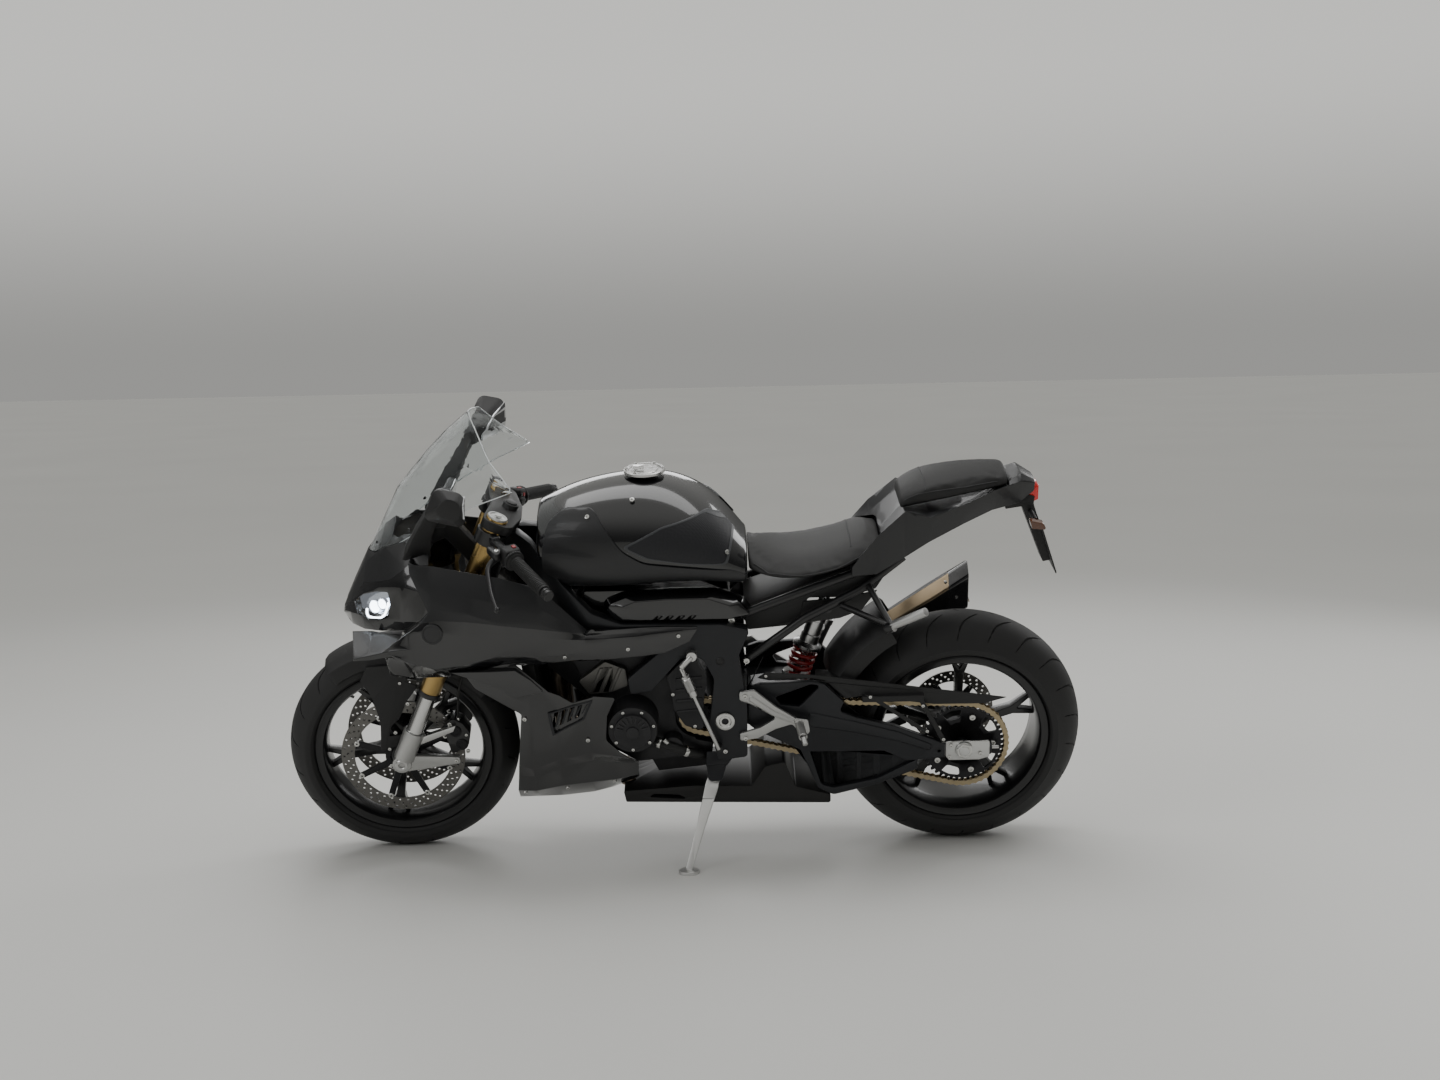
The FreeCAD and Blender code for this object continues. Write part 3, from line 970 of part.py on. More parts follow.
def fairing_pieces(frame, engine):
    outer = whole_form(NOSE_STATIONS)
    inner_stations = []
    for x, half in NOSE_STATIONS:
        middle_z = 0.5 * (half[0][1] + half[-1][1])
        inner_stations.append((x + 4, [(max(0, y - PANEL * 1.3),
                                        z - PANEL * 1.3 if z > middle_z else z + PANEL)
                                       for y, z in half]))
    inner_stations.append((160, inner_stations[-1][1]))
    inner = whole_form(inner_stations)
    nose = outer.cut(inner)
    window = fuse([headlamp_window(60, 230), headlamp_window(-230, -60)])
    lamps = outer.common(window)
    fork_room = side_plate([(6, 600), (28, 650), (50, 700), (56, 768), (91, 850), (104, 880), (200, 880),
                            (200, 600)], -150, 150)
    nose = cut(nose, [window, fork_room])
    nose = nose.cut(side_plate([(30, 905), (30, 1100), (200, 1100), (200, 905)], -90, 90))

    side = side_panel(outer, frame)
    lower = lower_panel(side)
    boss = rod((BELLY_BOSS[0], 100, BELLY_BOSS[1]), (BELLY_BOSS[0], 212, BELLY_BOSS[1]), 7)
    pan_right = fuse([lower, boss]).cut(engine)
    pan_left = fuse([mirrored(lower), mirrored(boss)]).cut(engine)

    # columns: middle x, z, then edge x, y, z, from the base up
    glass = []
    for cx, cz, ex, ey, ez in ((-45, 855, 34, 100, 890), (40, 1016, 140, 154, 962), (117, 1104, 262, 187, 1022),
                               (165, 1152, 352, 206, 1060), (200, 1182, 292, 150, 1122),
                               (229, 1206, 246, 66, 1197)):
        rim_arc = [Vector(ex, -ey, ez), Vector(cx, 0, cz), Vector(ex, ey, ez)]
        back = Vector(ex - cx, 0, ez - cz)
        back.normalize()
        edge = 0.7 * PANEL
        inner_arc = [rim_arc[0] + back * edge + Vector(0, edge, 0), rim_arc[1] + back * PANEL,
                     rim_arc[2] + back * edge - Vector(0, edge, 0)]
        glass.append(Part.Wire([Part.Arc(*rim_arc).toShape(), Part.makeLine(rim_arc[2], inner_arc[2]),
                                Part.Arc(*reversed(inner_arc)).toShape(),
                                Part.makeLine(inner_arc[0], rim_arc[0])]))
    screen = loft(glass)
    nose = nose.cut(screen)
    dash = side_plate([(125, 960, 8), (155, 1010, 8), (175, 1005, 8), (165, 930, 8), (135, 930, 8)], -85, 85)
    spine = side_plate([(222, 795), (238, 845), (165, 935), (140, 940), (95, 880), (95, 855), (150, 880)],
                       -20, 20)
    bar = rod((108, -150, 866), (108, 150, 866), 10)
    lug = side_plate([(90, 862), (90, 960), (126, 960), (126, 862)], 100, 150).common(inner)
    dash = cut(fuse([dash, spine, bar, lug, mirrored(lug)]), [frame, nose])

    housing = []
    # columns: y, front x, rear x, low z, high z
    for y, x_front, x_rear, z_low, z_high in (
            (262, 150, 200, 1030, 1080), (330, 160, 240, 1035, 1120),
            (400, 168, 268, 1040, 1138), (428, 196, 262, 1062, 1124)):
        housing.append(rounded_wire([(x_front, z_low + 24, 16), (x_front + 34, z_high, 20),
                                     (x_rear, z_high - 14, 22), (x_rear - 4, z_low, 16)],
                                    lambda p, y=y: Vector(p.x, y, p.y)))
    stalk = [Part.makePolygon([Vector(x_from, y, z_from), Vector(x_from + 14, y, z_to),
                               Vector(x_to, y, z_to - 8), Vector(x_to - 6, y, z_from),
                               Vector(x_from, y, z_from)])
             for y, x_from, x_to, z_from, z_to in ((146, 62, 136, 870, 912), (176, 96, 150, 935, 975),
                                                   (270, 158, 196, 1038, 1072))]
    mirror = cut(fuse([loft(housing), loft(stalk)]), [outer, screen, side])
    return {"nose_fairing": nose, "headlights": lamps, "side_fairing_right": side,
            "side_fairing_left": mirrored(side), "belly_pan_right": pan_right,
            "belly_pan_left": pan_left, "windscreen": screen, "dash": dash,
            "mirrors": pair(mirror)}


# Rider's controls and stand

FOOTREST_PLATE = [(884, 508, 6), (922, 512, 8), (975, 466, 8), (1026, 432, 8), (1054, 418, 8), (1052, 392, 6),
                  (1036, 392, 6), (1016, 416, 8), (974, 403, 8), (928, 378, 8), (884, 372, 6), (884, 392, 4),
                  (936, 408, 6), (978, 434, 8), (946, 458, 6), (884, 486, 6)]


def control_pieces(subframe):
    rider = []
    passenger = []
    for side in SIDES:
        def out(y):
            return side * y
        plate = side_plate(FOOTREST_PLATE, *sorted((out(SPAR_OUTSIDE + GAP), out(SPAR_OUTSIDE + 10))))
        rib = side_plate([(912, 500, 4), (970, 456, 4), (1030, 424, 4), (1036, 412, 4), (966, 444, 4),
                          (908, 486, 4)], *sorted((out(SPAR_OUTSIDE + 10), out(SPAR_OUTSIDE + 14))))
        peg = rod((1034, out(172), 418), (1041, out(246), 413), 11)
        tip = rod((1041, out(246), 413), (1046, out(262), 400), 7)
        heel = side_plate([(1018, 436, 6), (1056, 430, 6), (1062, 392, 10), (1036, 386, 10)],
                          *sorted((out(SPAR_OUTSIDE + 10), out(SPAR_OUTSIDE + 15))))
        rider.append(fuse([plate, rib, peg, tip, heel]))
        hanger = fuse([rod((1143, out(122), 716), (1262, out(206), 690), 8),
                       rod((1211, out(118), 765), (1262, out(206), 690), 8),
                       rod((1248, out(200), 684), (1268, out(212), 694), 13),
                       rod((1264, out(210), 696), (1338, out(262), 752), 11)])
        passenger.append(hanger.cut(subframe))
    shift = fuse([rod((767, -186, 613), (740, -186, 584), 8), rod((740, -186, 584), (748, -186, 562), 6),
                  rod((748, -186, 562), (770, -187, 505), 11), rod((770, -187, 505), (830, -190, 355), 5),
                  rod((830, -190, 355), (830, -168, 355), 8), rod((767, -190, 613), (767, -168, 613), 13)])
    pedal = bent_tube([(912, 188, 400), (840, 216, 372), (752, 218, 342), (745, 250, 345)], 7)
    pedal = fuse([pedal, rod((912, 178.3, 400), (912, 188, 400), 9)])
    return {"rider_footrests": Part.makeCompound(rider), "passenger_footrests": Part.makeCompound(passenger),
            "gear_linkage": shift, "brake_pedal": pedal}


# Parking: steer, lean, level the wheels' lowest points and move to the datum

def tyre_drop(centre, radius, crown, axle_direction):
    ring = radius - crown
    return centre.z - crown - ring * math.sqrt(1 - axle_direction.z ** 2)


STEER_TURN = Placement(Vector(0, 0, 0), Rotation(AXIS_UP, PARKED_STEER), AXIS_FOOT)
LEAN_TURN = Placement(Vector(0, 0, 0), Rotation(Vector(1, 0, 0), LEAN), Vector(0, 0, 0))


def parking_placement():
    leaned_front = LEAN_TURN.multVec(STEER_TURN.multVec(FRONT_AXLE))
    front_axis = LEAN_TURN.Rotation.multVec(STEER_TURN.Rotation.multVec(Vector(0, 1, 0)))
    leaned_rear = LEAN_TURN.multVec(REAR_AXLE)
    rear_axis = LEAN_TURN.Rotation.multVec(Vector(0, 1, 0))
    low_front = tyre_drop(leaned_front, FRONT_TYRE_RADIUS, FRONT_CROWN_RADIUS, front_axis)
    low_rear = tyre_drop(leaned_rear, REAR_TYRE_RADIUS, REAR_CROWN_RADIUS, rear_axis)
    level = math.degrees(math.atan2(low_rear - low_front, WHEELBASE))
    level_turn = Placement(Vector(0, 0, 0), Rotation(Vector(0, 1, 0), level), Vector(0, 0, 0))
    lift = Placement(Vector(-DATUM_X, -DATUM_Y, -low_front), Rotation())
    return lift.multiply(level_turn).multiply(LEAN_TURN)


PARK = parking_placement()


def stand_pieces():
    """A flat tapered blade from the knuckle to the sole, which lies level on the parked bike's floor."""
    pivot = Vector(*STAND_PIVOT)
    upright = PARK.inverse()
    foot = upright.multVec(Vector(STAND_REACH[0] - DATUM_X, STAND_REACH[1] - DATUM_Y, 0))
    up = upright.Rotation.multVec(Vector(0, 0, 1))
    top = pivot - STAND_AXIS * 4
    low = foot + up * 8
    down = low - top
    broad = down.cross(STAND_AXIS)
    broad.normalize()
    thin = broad.cross(down)
    thin.normalize()
    wires = []
    # columns: share of the way down, half breadth, half thickness
    for share, half_breadth, half_thickness in ((0.0, 15, 8), (0.12, 17, 8), (0.55, 11, 7), (1.0, 8, 6)):
        middle = top + down * share
        wires.append(rounded_wire([(-half_breadth, -half_thickness), (half_breadth, -half_thickness),
                                   (half_breadth, half_thickness), (-half_breadth, half_thickness)],
                                  lambda p, m=middle: m + broad * p.x + thin * p.y))
    leg = loft(wires)
    knuckle = Part.makeCylinder(16, 2 * STAND_KNUCKLE, pivot - STAND_AXIS * STAND_KNUCKLE, STAND_AXIS)
    bore = Part.makeCylinder(STAND_PIN_RADIUS + GAP, 60, pivot - STAND_AXIS * 30, STAND_AXIS)
    sole = Part.makeCylinder(26, 9, foot, up)
    slabs = [slab_about(pivot, STAND_AXIS, [(-60, -60), (-60, 60), (60, 60), (60, -60)], low_end, high_end)
             for low_end, high_end in ((STAND_KNUCKLE, 40), (-40, -STAND_KNUCKLE))]
    return {"side_stand": cut(fuse([leg, knuckle]), slabs + [bore]).fuse(sole).removeSplitter()}


def chassis_pieces():
    made = frame_pieces()
    made.update(exhaust_pieces(made["engine"]))
    made.update(rear_end_pieces())
    made.update(tank_pieces(made["frame"]))
    made.update(seat_pieces(made["subframe"]))
    made.update(fairing_pieces(made["frame"], made["engine"]))
    made.update(control_pieces(made["subframe"]))
    tank_shell = rounded_form(grown(TANK_STATIONS, COVER_STEP + GAP), TANK_CORNERS)
    made["airbox"] = airbox_piece(tank_shell, [made["frame"], made["engine"], made["subframe"]])
    made["battery_box"] = battery_box_piece(made["subframe"], made["tail_fairing"])
    return made


BODIES = {
    "steering": steering_pieces,
    "front_wheel": front_wheel_pieces,
    "rear_wheel": rear_wheel_pieces,
    "side_stand": stand_pieces,
    "chassis": chassis_pieces,
}


def build():
    os.makedirs("parts", exist_ok=True)
    shapes = {}
    for body, maker in BODIES.items():
        for name, shape in maker().items():
            placement = PARK.multiply(STEER_TURN) if body in ("steering", "front_wheel") else PARK
            parked = shape.copy()
            parked.Placement = placement.multiply(parked.Placement)
            shapes[name] = parked
            parked.exportStep(os.path.join("parts", name + ".step"))
    return shapes


def report(shapes):
    corners = [point for shape in shapes.values() for point in shape.tessellate(0.3)[0]]
    for axis in "xyz":
        values = [getattr(point, axis) for point in corners]
        print("extent", axis, "%.2f %.2f middle %.2f" % (min(values), max(values),
                                                    (min(values) + max(values)) / 2))
    print("nodes", len(shapes))
    steered = PARK.multiply(STEER_TURN)
    for name, place, point in (("steering", PARK, steering_point(0, 0, UPPER_CLAMP)),
                               ("front_wheel", steered, FRONT_AXLE),
                               ("rear_wheel", PARK, REAR_AXLE),
                               ("side_stand", PARK, Vector(*STAND_PIVOT))):
        print("joint", name, [round(c, 3) for c in place.multVec(point)])
    for name, place, axis in (("steering", PARK, AXIS_UP), ("front_wheel", steered, Vector(0, 1, 0)),
                              ("rear_wheel", PARK, Vector(0, 1, 0)), ("side_stand", PARK, STAND_AXIS)):
        print("axis", name, [round(c, 6) for c in place.Rotation.multVec(axis)])
    face = ARM_INSIDE + ARM_PLATE
    floor = PARK.inverse().multVec(Vector(STAND_REACH[0] - DATUM_X, STAND_REACH[1] - DATUM_Y, 0))
    for name, point, way in (("paddock_spool_left", Vector(SPOOL_HOLE[0], -face, SPOOL_HOLE[1]), -1),
                             ("paddock_spool_right", Vector(SPOOL_HOLE[0], face, SPOOL_HOLE[1]), 1),
                             ("stand_sole", floor, 1)):
        print("mount", name, [round(c, 3) for c in PARK.multVec(point)],
              [round(c, 6) for c in PARK.Rotation.multVec(Vector(0, way, 0))])
    for name, shape in shapes.items():
        if not shape.isValid() or not shape.Solids:
            print("invalid", name, len(shape.Solids))


report(build())
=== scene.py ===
import json
import math

import bmesh
import bpy
from mathutils import Matrix, Vector
from mathutils.bvhtree import BVHTree

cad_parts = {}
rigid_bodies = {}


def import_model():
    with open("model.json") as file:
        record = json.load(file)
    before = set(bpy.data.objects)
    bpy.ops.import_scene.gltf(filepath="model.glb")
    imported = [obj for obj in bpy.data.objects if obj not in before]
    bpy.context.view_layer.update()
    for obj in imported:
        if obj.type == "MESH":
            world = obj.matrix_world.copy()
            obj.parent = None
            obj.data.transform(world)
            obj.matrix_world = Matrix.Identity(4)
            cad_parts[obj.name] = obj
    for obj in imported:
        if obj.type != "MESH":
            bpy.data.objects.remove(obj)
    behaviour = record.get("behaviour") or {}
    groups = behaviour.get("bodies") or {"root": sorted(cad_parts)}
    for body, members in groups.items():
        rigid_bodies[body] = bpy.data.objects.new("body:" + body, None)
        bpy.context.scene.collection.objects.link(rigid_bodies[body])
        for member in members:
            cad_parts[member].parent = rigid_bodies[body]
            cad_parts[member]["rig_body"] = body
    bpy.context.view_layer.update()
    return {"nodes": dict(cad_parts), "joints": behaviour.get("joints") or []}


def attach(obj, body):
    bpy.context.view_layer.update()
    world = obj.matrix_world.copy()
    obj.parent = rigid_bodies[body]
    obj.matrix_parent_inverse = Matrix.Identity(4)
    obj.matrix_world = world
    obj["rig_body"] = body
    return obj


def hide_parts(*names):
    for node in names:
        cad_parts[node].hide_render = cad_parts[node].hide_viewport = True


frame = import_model()
NODES = frame["nodes"]
JOINTS = {joint["child"]: joint for joint in frame["joints"]}

# The bike's own upright frame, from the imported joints: X back from the front axle, Y right, Z up.
# New pieces are drawn in it in millimetres.
RAKE = math.radians(23.6)
FRONT_TYRE_RADIUS = 300
REAR_TYRE_RADIUS = 320.5
FRONT_AXLE = Vector((0, 0, FRONT_TYRE_RADIUS))
REAR_AXLE = Vector((1457, 0, REAR_TYRE_RADIUS))
RIM_SEAT_RADIUS = 216
RIM_FLANGE_RADIUS = 231
FRONT_RIM_HALF = 44.5
REAR_RIM_HALF = 76
FRONT_DISC_RADIUS = 160
FRONT_DISC_OFFSET = 70
REAR_DISC_RADIUS = 110
REAR_DISC_OFFSET = 92
SPOKES = 5
FORK_UP = Vector((math.sin(RAKE), 0, math.cos(RAKE)))
FORK_SPREAD = 107
CHAIN_OFFSET = 110
SIDES = (-1, 1)
MILLI = Matrix.Scale(0.001, 4)
WELD = 0.03              # points closer than this are one
FAR_LEFT = -700          # outside the bike on its left


def upright_frame(wheel, axle):
    """Places the upright bike in the part's frame, from a wheel's axle line and the steering axis."""
    right = Vector(JOINTS[wheel]["axis"]).normalized()
    steering_up = Vector(JOINTS["steering"]["axis"])
    steering_up = (steering_up - right * steering_up.dot(right)).normalized()
    back = right.cross(steering_up)
    x = math.sin(RAKE) * steering_up + math.cos(RAKE) * back
    z = math.cos(RAKE) * steering_up - math.sin(RAKE) * back
    turn = Matrix((x, right, z)).transposed()
    origin = Vector(JOINTS[wheel]["pos_m"]) - turn @ axle * 0.001
    return Matrix.Translation(origin) @ turn.to_4x4() @ MILLI


UPRIGHT = upright_frame("rear_wheel", REAR_AXLE)
STEERED = upright_frame("front_wheel", FRONT_AXLE)
PLACE = {"chassis": UPRIGHT, "rear_wheel": UPRIGHT, "side_stand": UPRIGHT,
         "steering": STEERED, "front_wheel": STEERED}


# Camera, lights and floor

CAMERA_PLACE = Vector((0.1195, -4.2638, 1.302))
CAMERA_PITCH = math.radians(6.26)
CAMERA_YAW = math.radians(0.21)
CAMERA_ROLL = math.radians(-1.17)
SENSOR = 36.0
FOCAL_SHARE = 1712.0 / 1440.0    # focal length over the picture's width
FLOOR_COLOUR = (0.74, 0.74, 0.72)
SKY_COLOUR = (0.80, 0.795, 0.765, 1)
SKY_SEEN = (0.42, 0.92)          # the backdrop's strength where the camera sees it, level and higher up
SKY_LIGHT = (0.10, 0.85)         # and as light on the bike and the floor


def make_camera():
    ahead = Vector((-math.sin(CAMERA_YAW) * math.cos(CAMERA_PITCH),
                    math.cos(CAMERA_YAW) * math.cos(CAMERA_PITCH), -math.sin(CAMERA_PITCH)))
    level = Vector((math.cos(CAMERA_YAW), math.sin(CAMERA_YAW), 0))
    upward = level.cross(ahead)
    side = level * math.cos(CAMERA_ROLL) + upward * math.sin(CAMERA_ROLL)
    top = -level * math.sin(CAMERA_ROLL) + upward * math.cos(CAMERA_ROLL)
    data = bpy.data.cameras.new("camera")
    data.sensor_width = SENSOR
    data.lens = SENSOR * FOCAL_SHARE
    camera = bpy.data.objects.new("camera", data)
    turn = Matrix((side, top, -ahead)).transposed().to_4x4()
    camera.matrix_world = Matrix.Translation(CAMERA_PLACE) @ turn
    bpy.context.scene.collection.objects.link(camera)
    bpy.context.scene.camera = camera


def area_light(name, place, target, width, depth, power):
    data = bpy.data.lights.new(name, "AREA")
    data.shape = "RECTANGLE"
    data.size = width
    data.size_y = depth
    data.energy = power
    light = bpy.data.objects.new(name, data)
    aim = (Vector(target) - Vector(place)).to_track_quat("-Z", "Y").to_matrix().to_4x4()
    light.matrix_world = Matrix.Translation(place) @ aim
    bpy.context.scene.collection.objects.link(light)


def make_studio():
    world = bpy.data.worlds.new("studio")
    world.use_nodes = True
    nodes, links = world.node_tree.nodes, world.node_tree.links
    background = nodes["Background"]
    background.inputs["Color"].default_value = SKY_COLOUR
    way = nodes.new("ShaderNodeTexCoord")
    split = nodes.new("ShaderNodeSeparateXYZ")
    links.new(way.outputs["Generated"], split.inputs["Vector"])
    sides = []
    for strengths, height in ((SKY_LIGHT, 0.9), (SKY_SEEN, 0.16)):
        sweep = nodes.new("ShaderNodeMapRange")
        sweep.interpolation_type = "SMOOTHSTEP"
        sweep.inputs["From Max"].default_value = height
        sweep.inputs["To Min"].default_value, sweep.inputs["To Max"].default_value = strengths
        links.new(split.outputs["Z"], sweep.inputs["Value"])
        sides.append(sweep.outputs["Result"])
    path = nodes.new("ShaderNodeLightPath")
    seen = nodes.new("ShaderNodeMath")
    seen.operation = "MAXIMUM"
    links.new(path.outputs["Is Camera Ray"], seen.inputs[0])
    links.new(path.outputs["Is Transmission Ray"], seen.inputs[1])
    strength = nodes.new("ShaderNodeMix")
    links.new(seen.outputs["Value"], strength.inputs["Factor"])
    links.new(sides[0], strength.inputs["A"])
    links.new(sides[1], strength.inputs["B"])
    links.new(strength.outputs["Result"], background.inputs["Strength"])
    bpy.context.scene.world = world
    area_light("overhead", (0.1, 0.3, 3.6), (0, 0, 0.5), 4.5, 1.4, 45)
    area_light("front_left", (-3.4, -2.6, 2.4), (-0.3, 0, 0.6), 1.6, 2.0, 26)
    area_light("rear_right", (3.4, 2.8, 2.4), (0.3, 0, 0.7), 1.6, 2.0, 30)
    area_light("far_side", (-0.6, 4.2, 2.6), (0, 0, 0.6), 3.0, 1.2, 30)
    bm = bmesh.new()
    bmesh.ops.create_grid(bm, x_segments=2, y_segments=2, size=60)
    mesh = bpy.data.meshes.new("floor")
    bm.to_mesh(mesh)
    bm.free()
    floor = bpy.data.objects.new("floor", mesh)
    bpy.context.scene.collection.objects.link(floor)
    mesh.materials.append(finish_material("floor_paint", FLOOR_COLOUR, 0.5, bump=0.05, grain_scale=40,
                                          patch_scale=0.5, variation=0.03))


# Materials

def socket_input(group, name, kind, default):
    socket = group.interface.new_socket(name, in_out="INPUT", socket_type=kind)
    socket.default_value = default


def surface_group():
    """Object-space grain: puts out a 0 to 1 mottle for colour and roughness, and a fine height for bump."""
    group = bpy.data.node_groups.new("grain", "ShaderNodeTree")
    socket_input(group, "Patch Scale", "NodeSocketFloat", 6.0)
    socket_input(group, "Grain Scale", "NodeSocketFloat", 600.0)
    group.interface.new_socket("Mottle", in_out="OUTPUT", socket_type="NodeSocketFloat")
    group.interface.new_socket("Height", in_out="OUTPUT", socket_type="NodeSocketFloat")
    nodes, links = group.nodes, group.links
    source = nodes.new("NodeGroupInput")
    sink = nodes.new("NodeGroupOutput")
    place = nodes.new("ShaderNodeTexCoord")
    patch = nodes.new("ShaderNodeTexNoise")
    patch.inputs["Detail"].default_value = 6.0
    grain = nodes.new("ShaderNodeTexNoise")
    grain.inputs["Detail"].default_value = 3.0
    for noise, scale in ((patch, "Patch Scale"), (grain, "Grain Scale")):
        links.new(place.outputs["Object"], noise.inputs["Vector"])
        links.new(source.outputs[scale], noise.inputs["Scale"])
    links.new(patch.outputs["Fac"], sink.inputs["Mottle"])
    links.new(grain.outputs["Fac"], sink.inputs["Height"])
    return group


def edge_group():
    """Worn edges: pointiness of the surface, broken up by a noise."""
    group = bpy.data.node_groups.new("edge_wear", "ShaderNodeTree")
    socket_input(group, "Amount", "NodeSocketFloat", 0.5)
    group.interface.new_socket("Edge", in_out="OUTPUT", socket_type="NodeSocketFloat")
    nodes, links = group.nodes, group.links
    source = nodes.new("NodeGroupInput")
    sink = nodes.new("NodeGroupOutput")
    geometry = nodes.new("ShaderNodeNewGeometry")
    ramp = nodes.new("ShaderNodeMapRange")
    ramp.inputs["From Min"].default_value = 0.50
    ramp.inputs["From Max"].default_value = 0.60
    links.new(geometry.outputs["Pointiness"], ramp.inputs["Value"])
    place = nodes.new("ShaderNodeTexCoord")
    noise = nodes.new("ShaderNodeTexNoise")
    noise.inputs["Scale"].default_value = 45.0
    noise.inputs["Detail"].default_value = 5.0
    links.new(place.outputs["Object"], noise.inputs["Vector"])
    broken = nodes.new("ShaderNodeMath")
    broken.operation = "MULTIPLY"
    links.new(ramp.outputs["Result"], broken.inputs[0])
    links.new(noise.outputs["Fac"], broken.inputs[1])
    scaled = nodes.new("ShaderNodeMath")
    scaled.operation = "MULTIPLY"
    links.new(broken.outputs["Value"], scaled.inputs[0])
    links.new(source.outputs["Amount"], scaled.inputs[1])
    links.new(scaled.outputs["Value"], sink.inputs["Edge"])
    return group


GRAIN = surface_group()
EDGE_WEAR = edge_group()


def shade(colour, share):
    return tuple(min(1.0, c * share) for c in colour) + (1,)


def finish_material(name, colour, roughness, metallic=0.0, coat=0.0, bump=0.1, grain_scale=600.0,
                    patch_scale=6.0, spread=0.15, variation=0.25, wear=0.0, wear_colour=(0.5, 0.5, 0.5),
                    emission=0.0, transmission=0.0, ior=1.5, height=None):
    """Principled surface whose colour, roughness and bump vary with the shared grain group."""
    material = bpy.data.materials.new(name)
    material.use_nodes = True
    nodes, links = material.node_tree.nodes, material.node_tree.links
    shader = nodes["Principled BSDF"]
    shader.inputs["Metallic"].default_value = metallic
    shader.inputs["Coat Weight"].default_value = coat
    shader.inputs["Coat Roughness"].default_value = 0.03
    shader.inputs["IOR"].default_value = ior
    shader.inputs["Transmission Weight"].default_value = transmission
    if emission:
        shader.inputs["Emission Color"].default_value = (*colour, 1)
        shader.inputs["Emission Strength"].default_value = emission
    grain = nodes.new("ShaderNodeGroup")
    grain.node_tree = GRAIN
    grain.inputs["Patch Scale"].default_value = patch_scale
    grain.inputs["Grain Scale"].default_value = grain_scale
    tint = nodes.new("ShaderNodeMix")
    tint.data_type = "RGBA"
    tint.inputs["A"].default_value = shade(colour, 1 - variation)
    tint.inputs["B"].default_value = shade(colour, 1 + variation)
    links.new(grain.outputs["Mottle"], tint.inputs["Factor"])
    base = tint.outputs["Result"]
    if wear:
        edge = nodes.new("ShaderNodeGroup")
        edge.node_tree = EDGE_WEAR
        edge.inputs["Amount"].default_value = wear
        worn = nodes.new("ShaderNodeMix")
        worn.data_type = "RGBA"
        worn.inputs["B"].default_value = (*wear_colour, 1)
        links.new(edge.outputs["Edge"], worn.inputs["Factor"])
        links.new(base, worn.inputs["A"])
        base = worn.outputs["Result"]
    links.new(base, shader.inputs["Base Color"])
    rough = nodes.new("ShaderNodeMapRange")
    rough.inputs["To Min"].default_value = max(0.0, roughness - spread / 2)
    rough.inputs["To Max"].default_value = min(1.0, roughness + spread / 2)
    links.new(grain.outputs["Mottle"], rough.inputs["Value"])
    links.new(rough.outputs["Result"], shader.inputs["Roughness"])
    relief = nodes.new("ShaderNodeBump")
    relief.inputs["Strength"].default_value = bump
    relief.inputs["Distance"].default_value = 0.0005
    links.new((height or (lambda tree, group: group.outputs["Height"]))(material.node_tree, grain),
              relief.inputs["Height"])
    links.new(relief.outputs["Normal"], shader.inputs["Normal"])
    return material


def dimples(scale, randomness):
    """Height of raised dots in a regular or random field, for pads and leather."""
    def build(tree, grain):
        place = tree.nodes.new("ShaderNodeTexCoord")
        cells = tree.nodes.new("ShaderNodeTexVoronoi")
        cells.inputs["Scale"].default_value = scale
        cells.inputs["Randomness"].default_value = randomness
        tree.links.new(place.outputs["Object"], cells.inputs["Vector"])
        return cells.outputs["Distance"]
    return build


DARK_EDGE = (0.07, 0.07, 0.07)
PALE_EDGE = (0.16, 0.16, 0.16)
BLACK = (0.006, 0.0062, 0.0072)

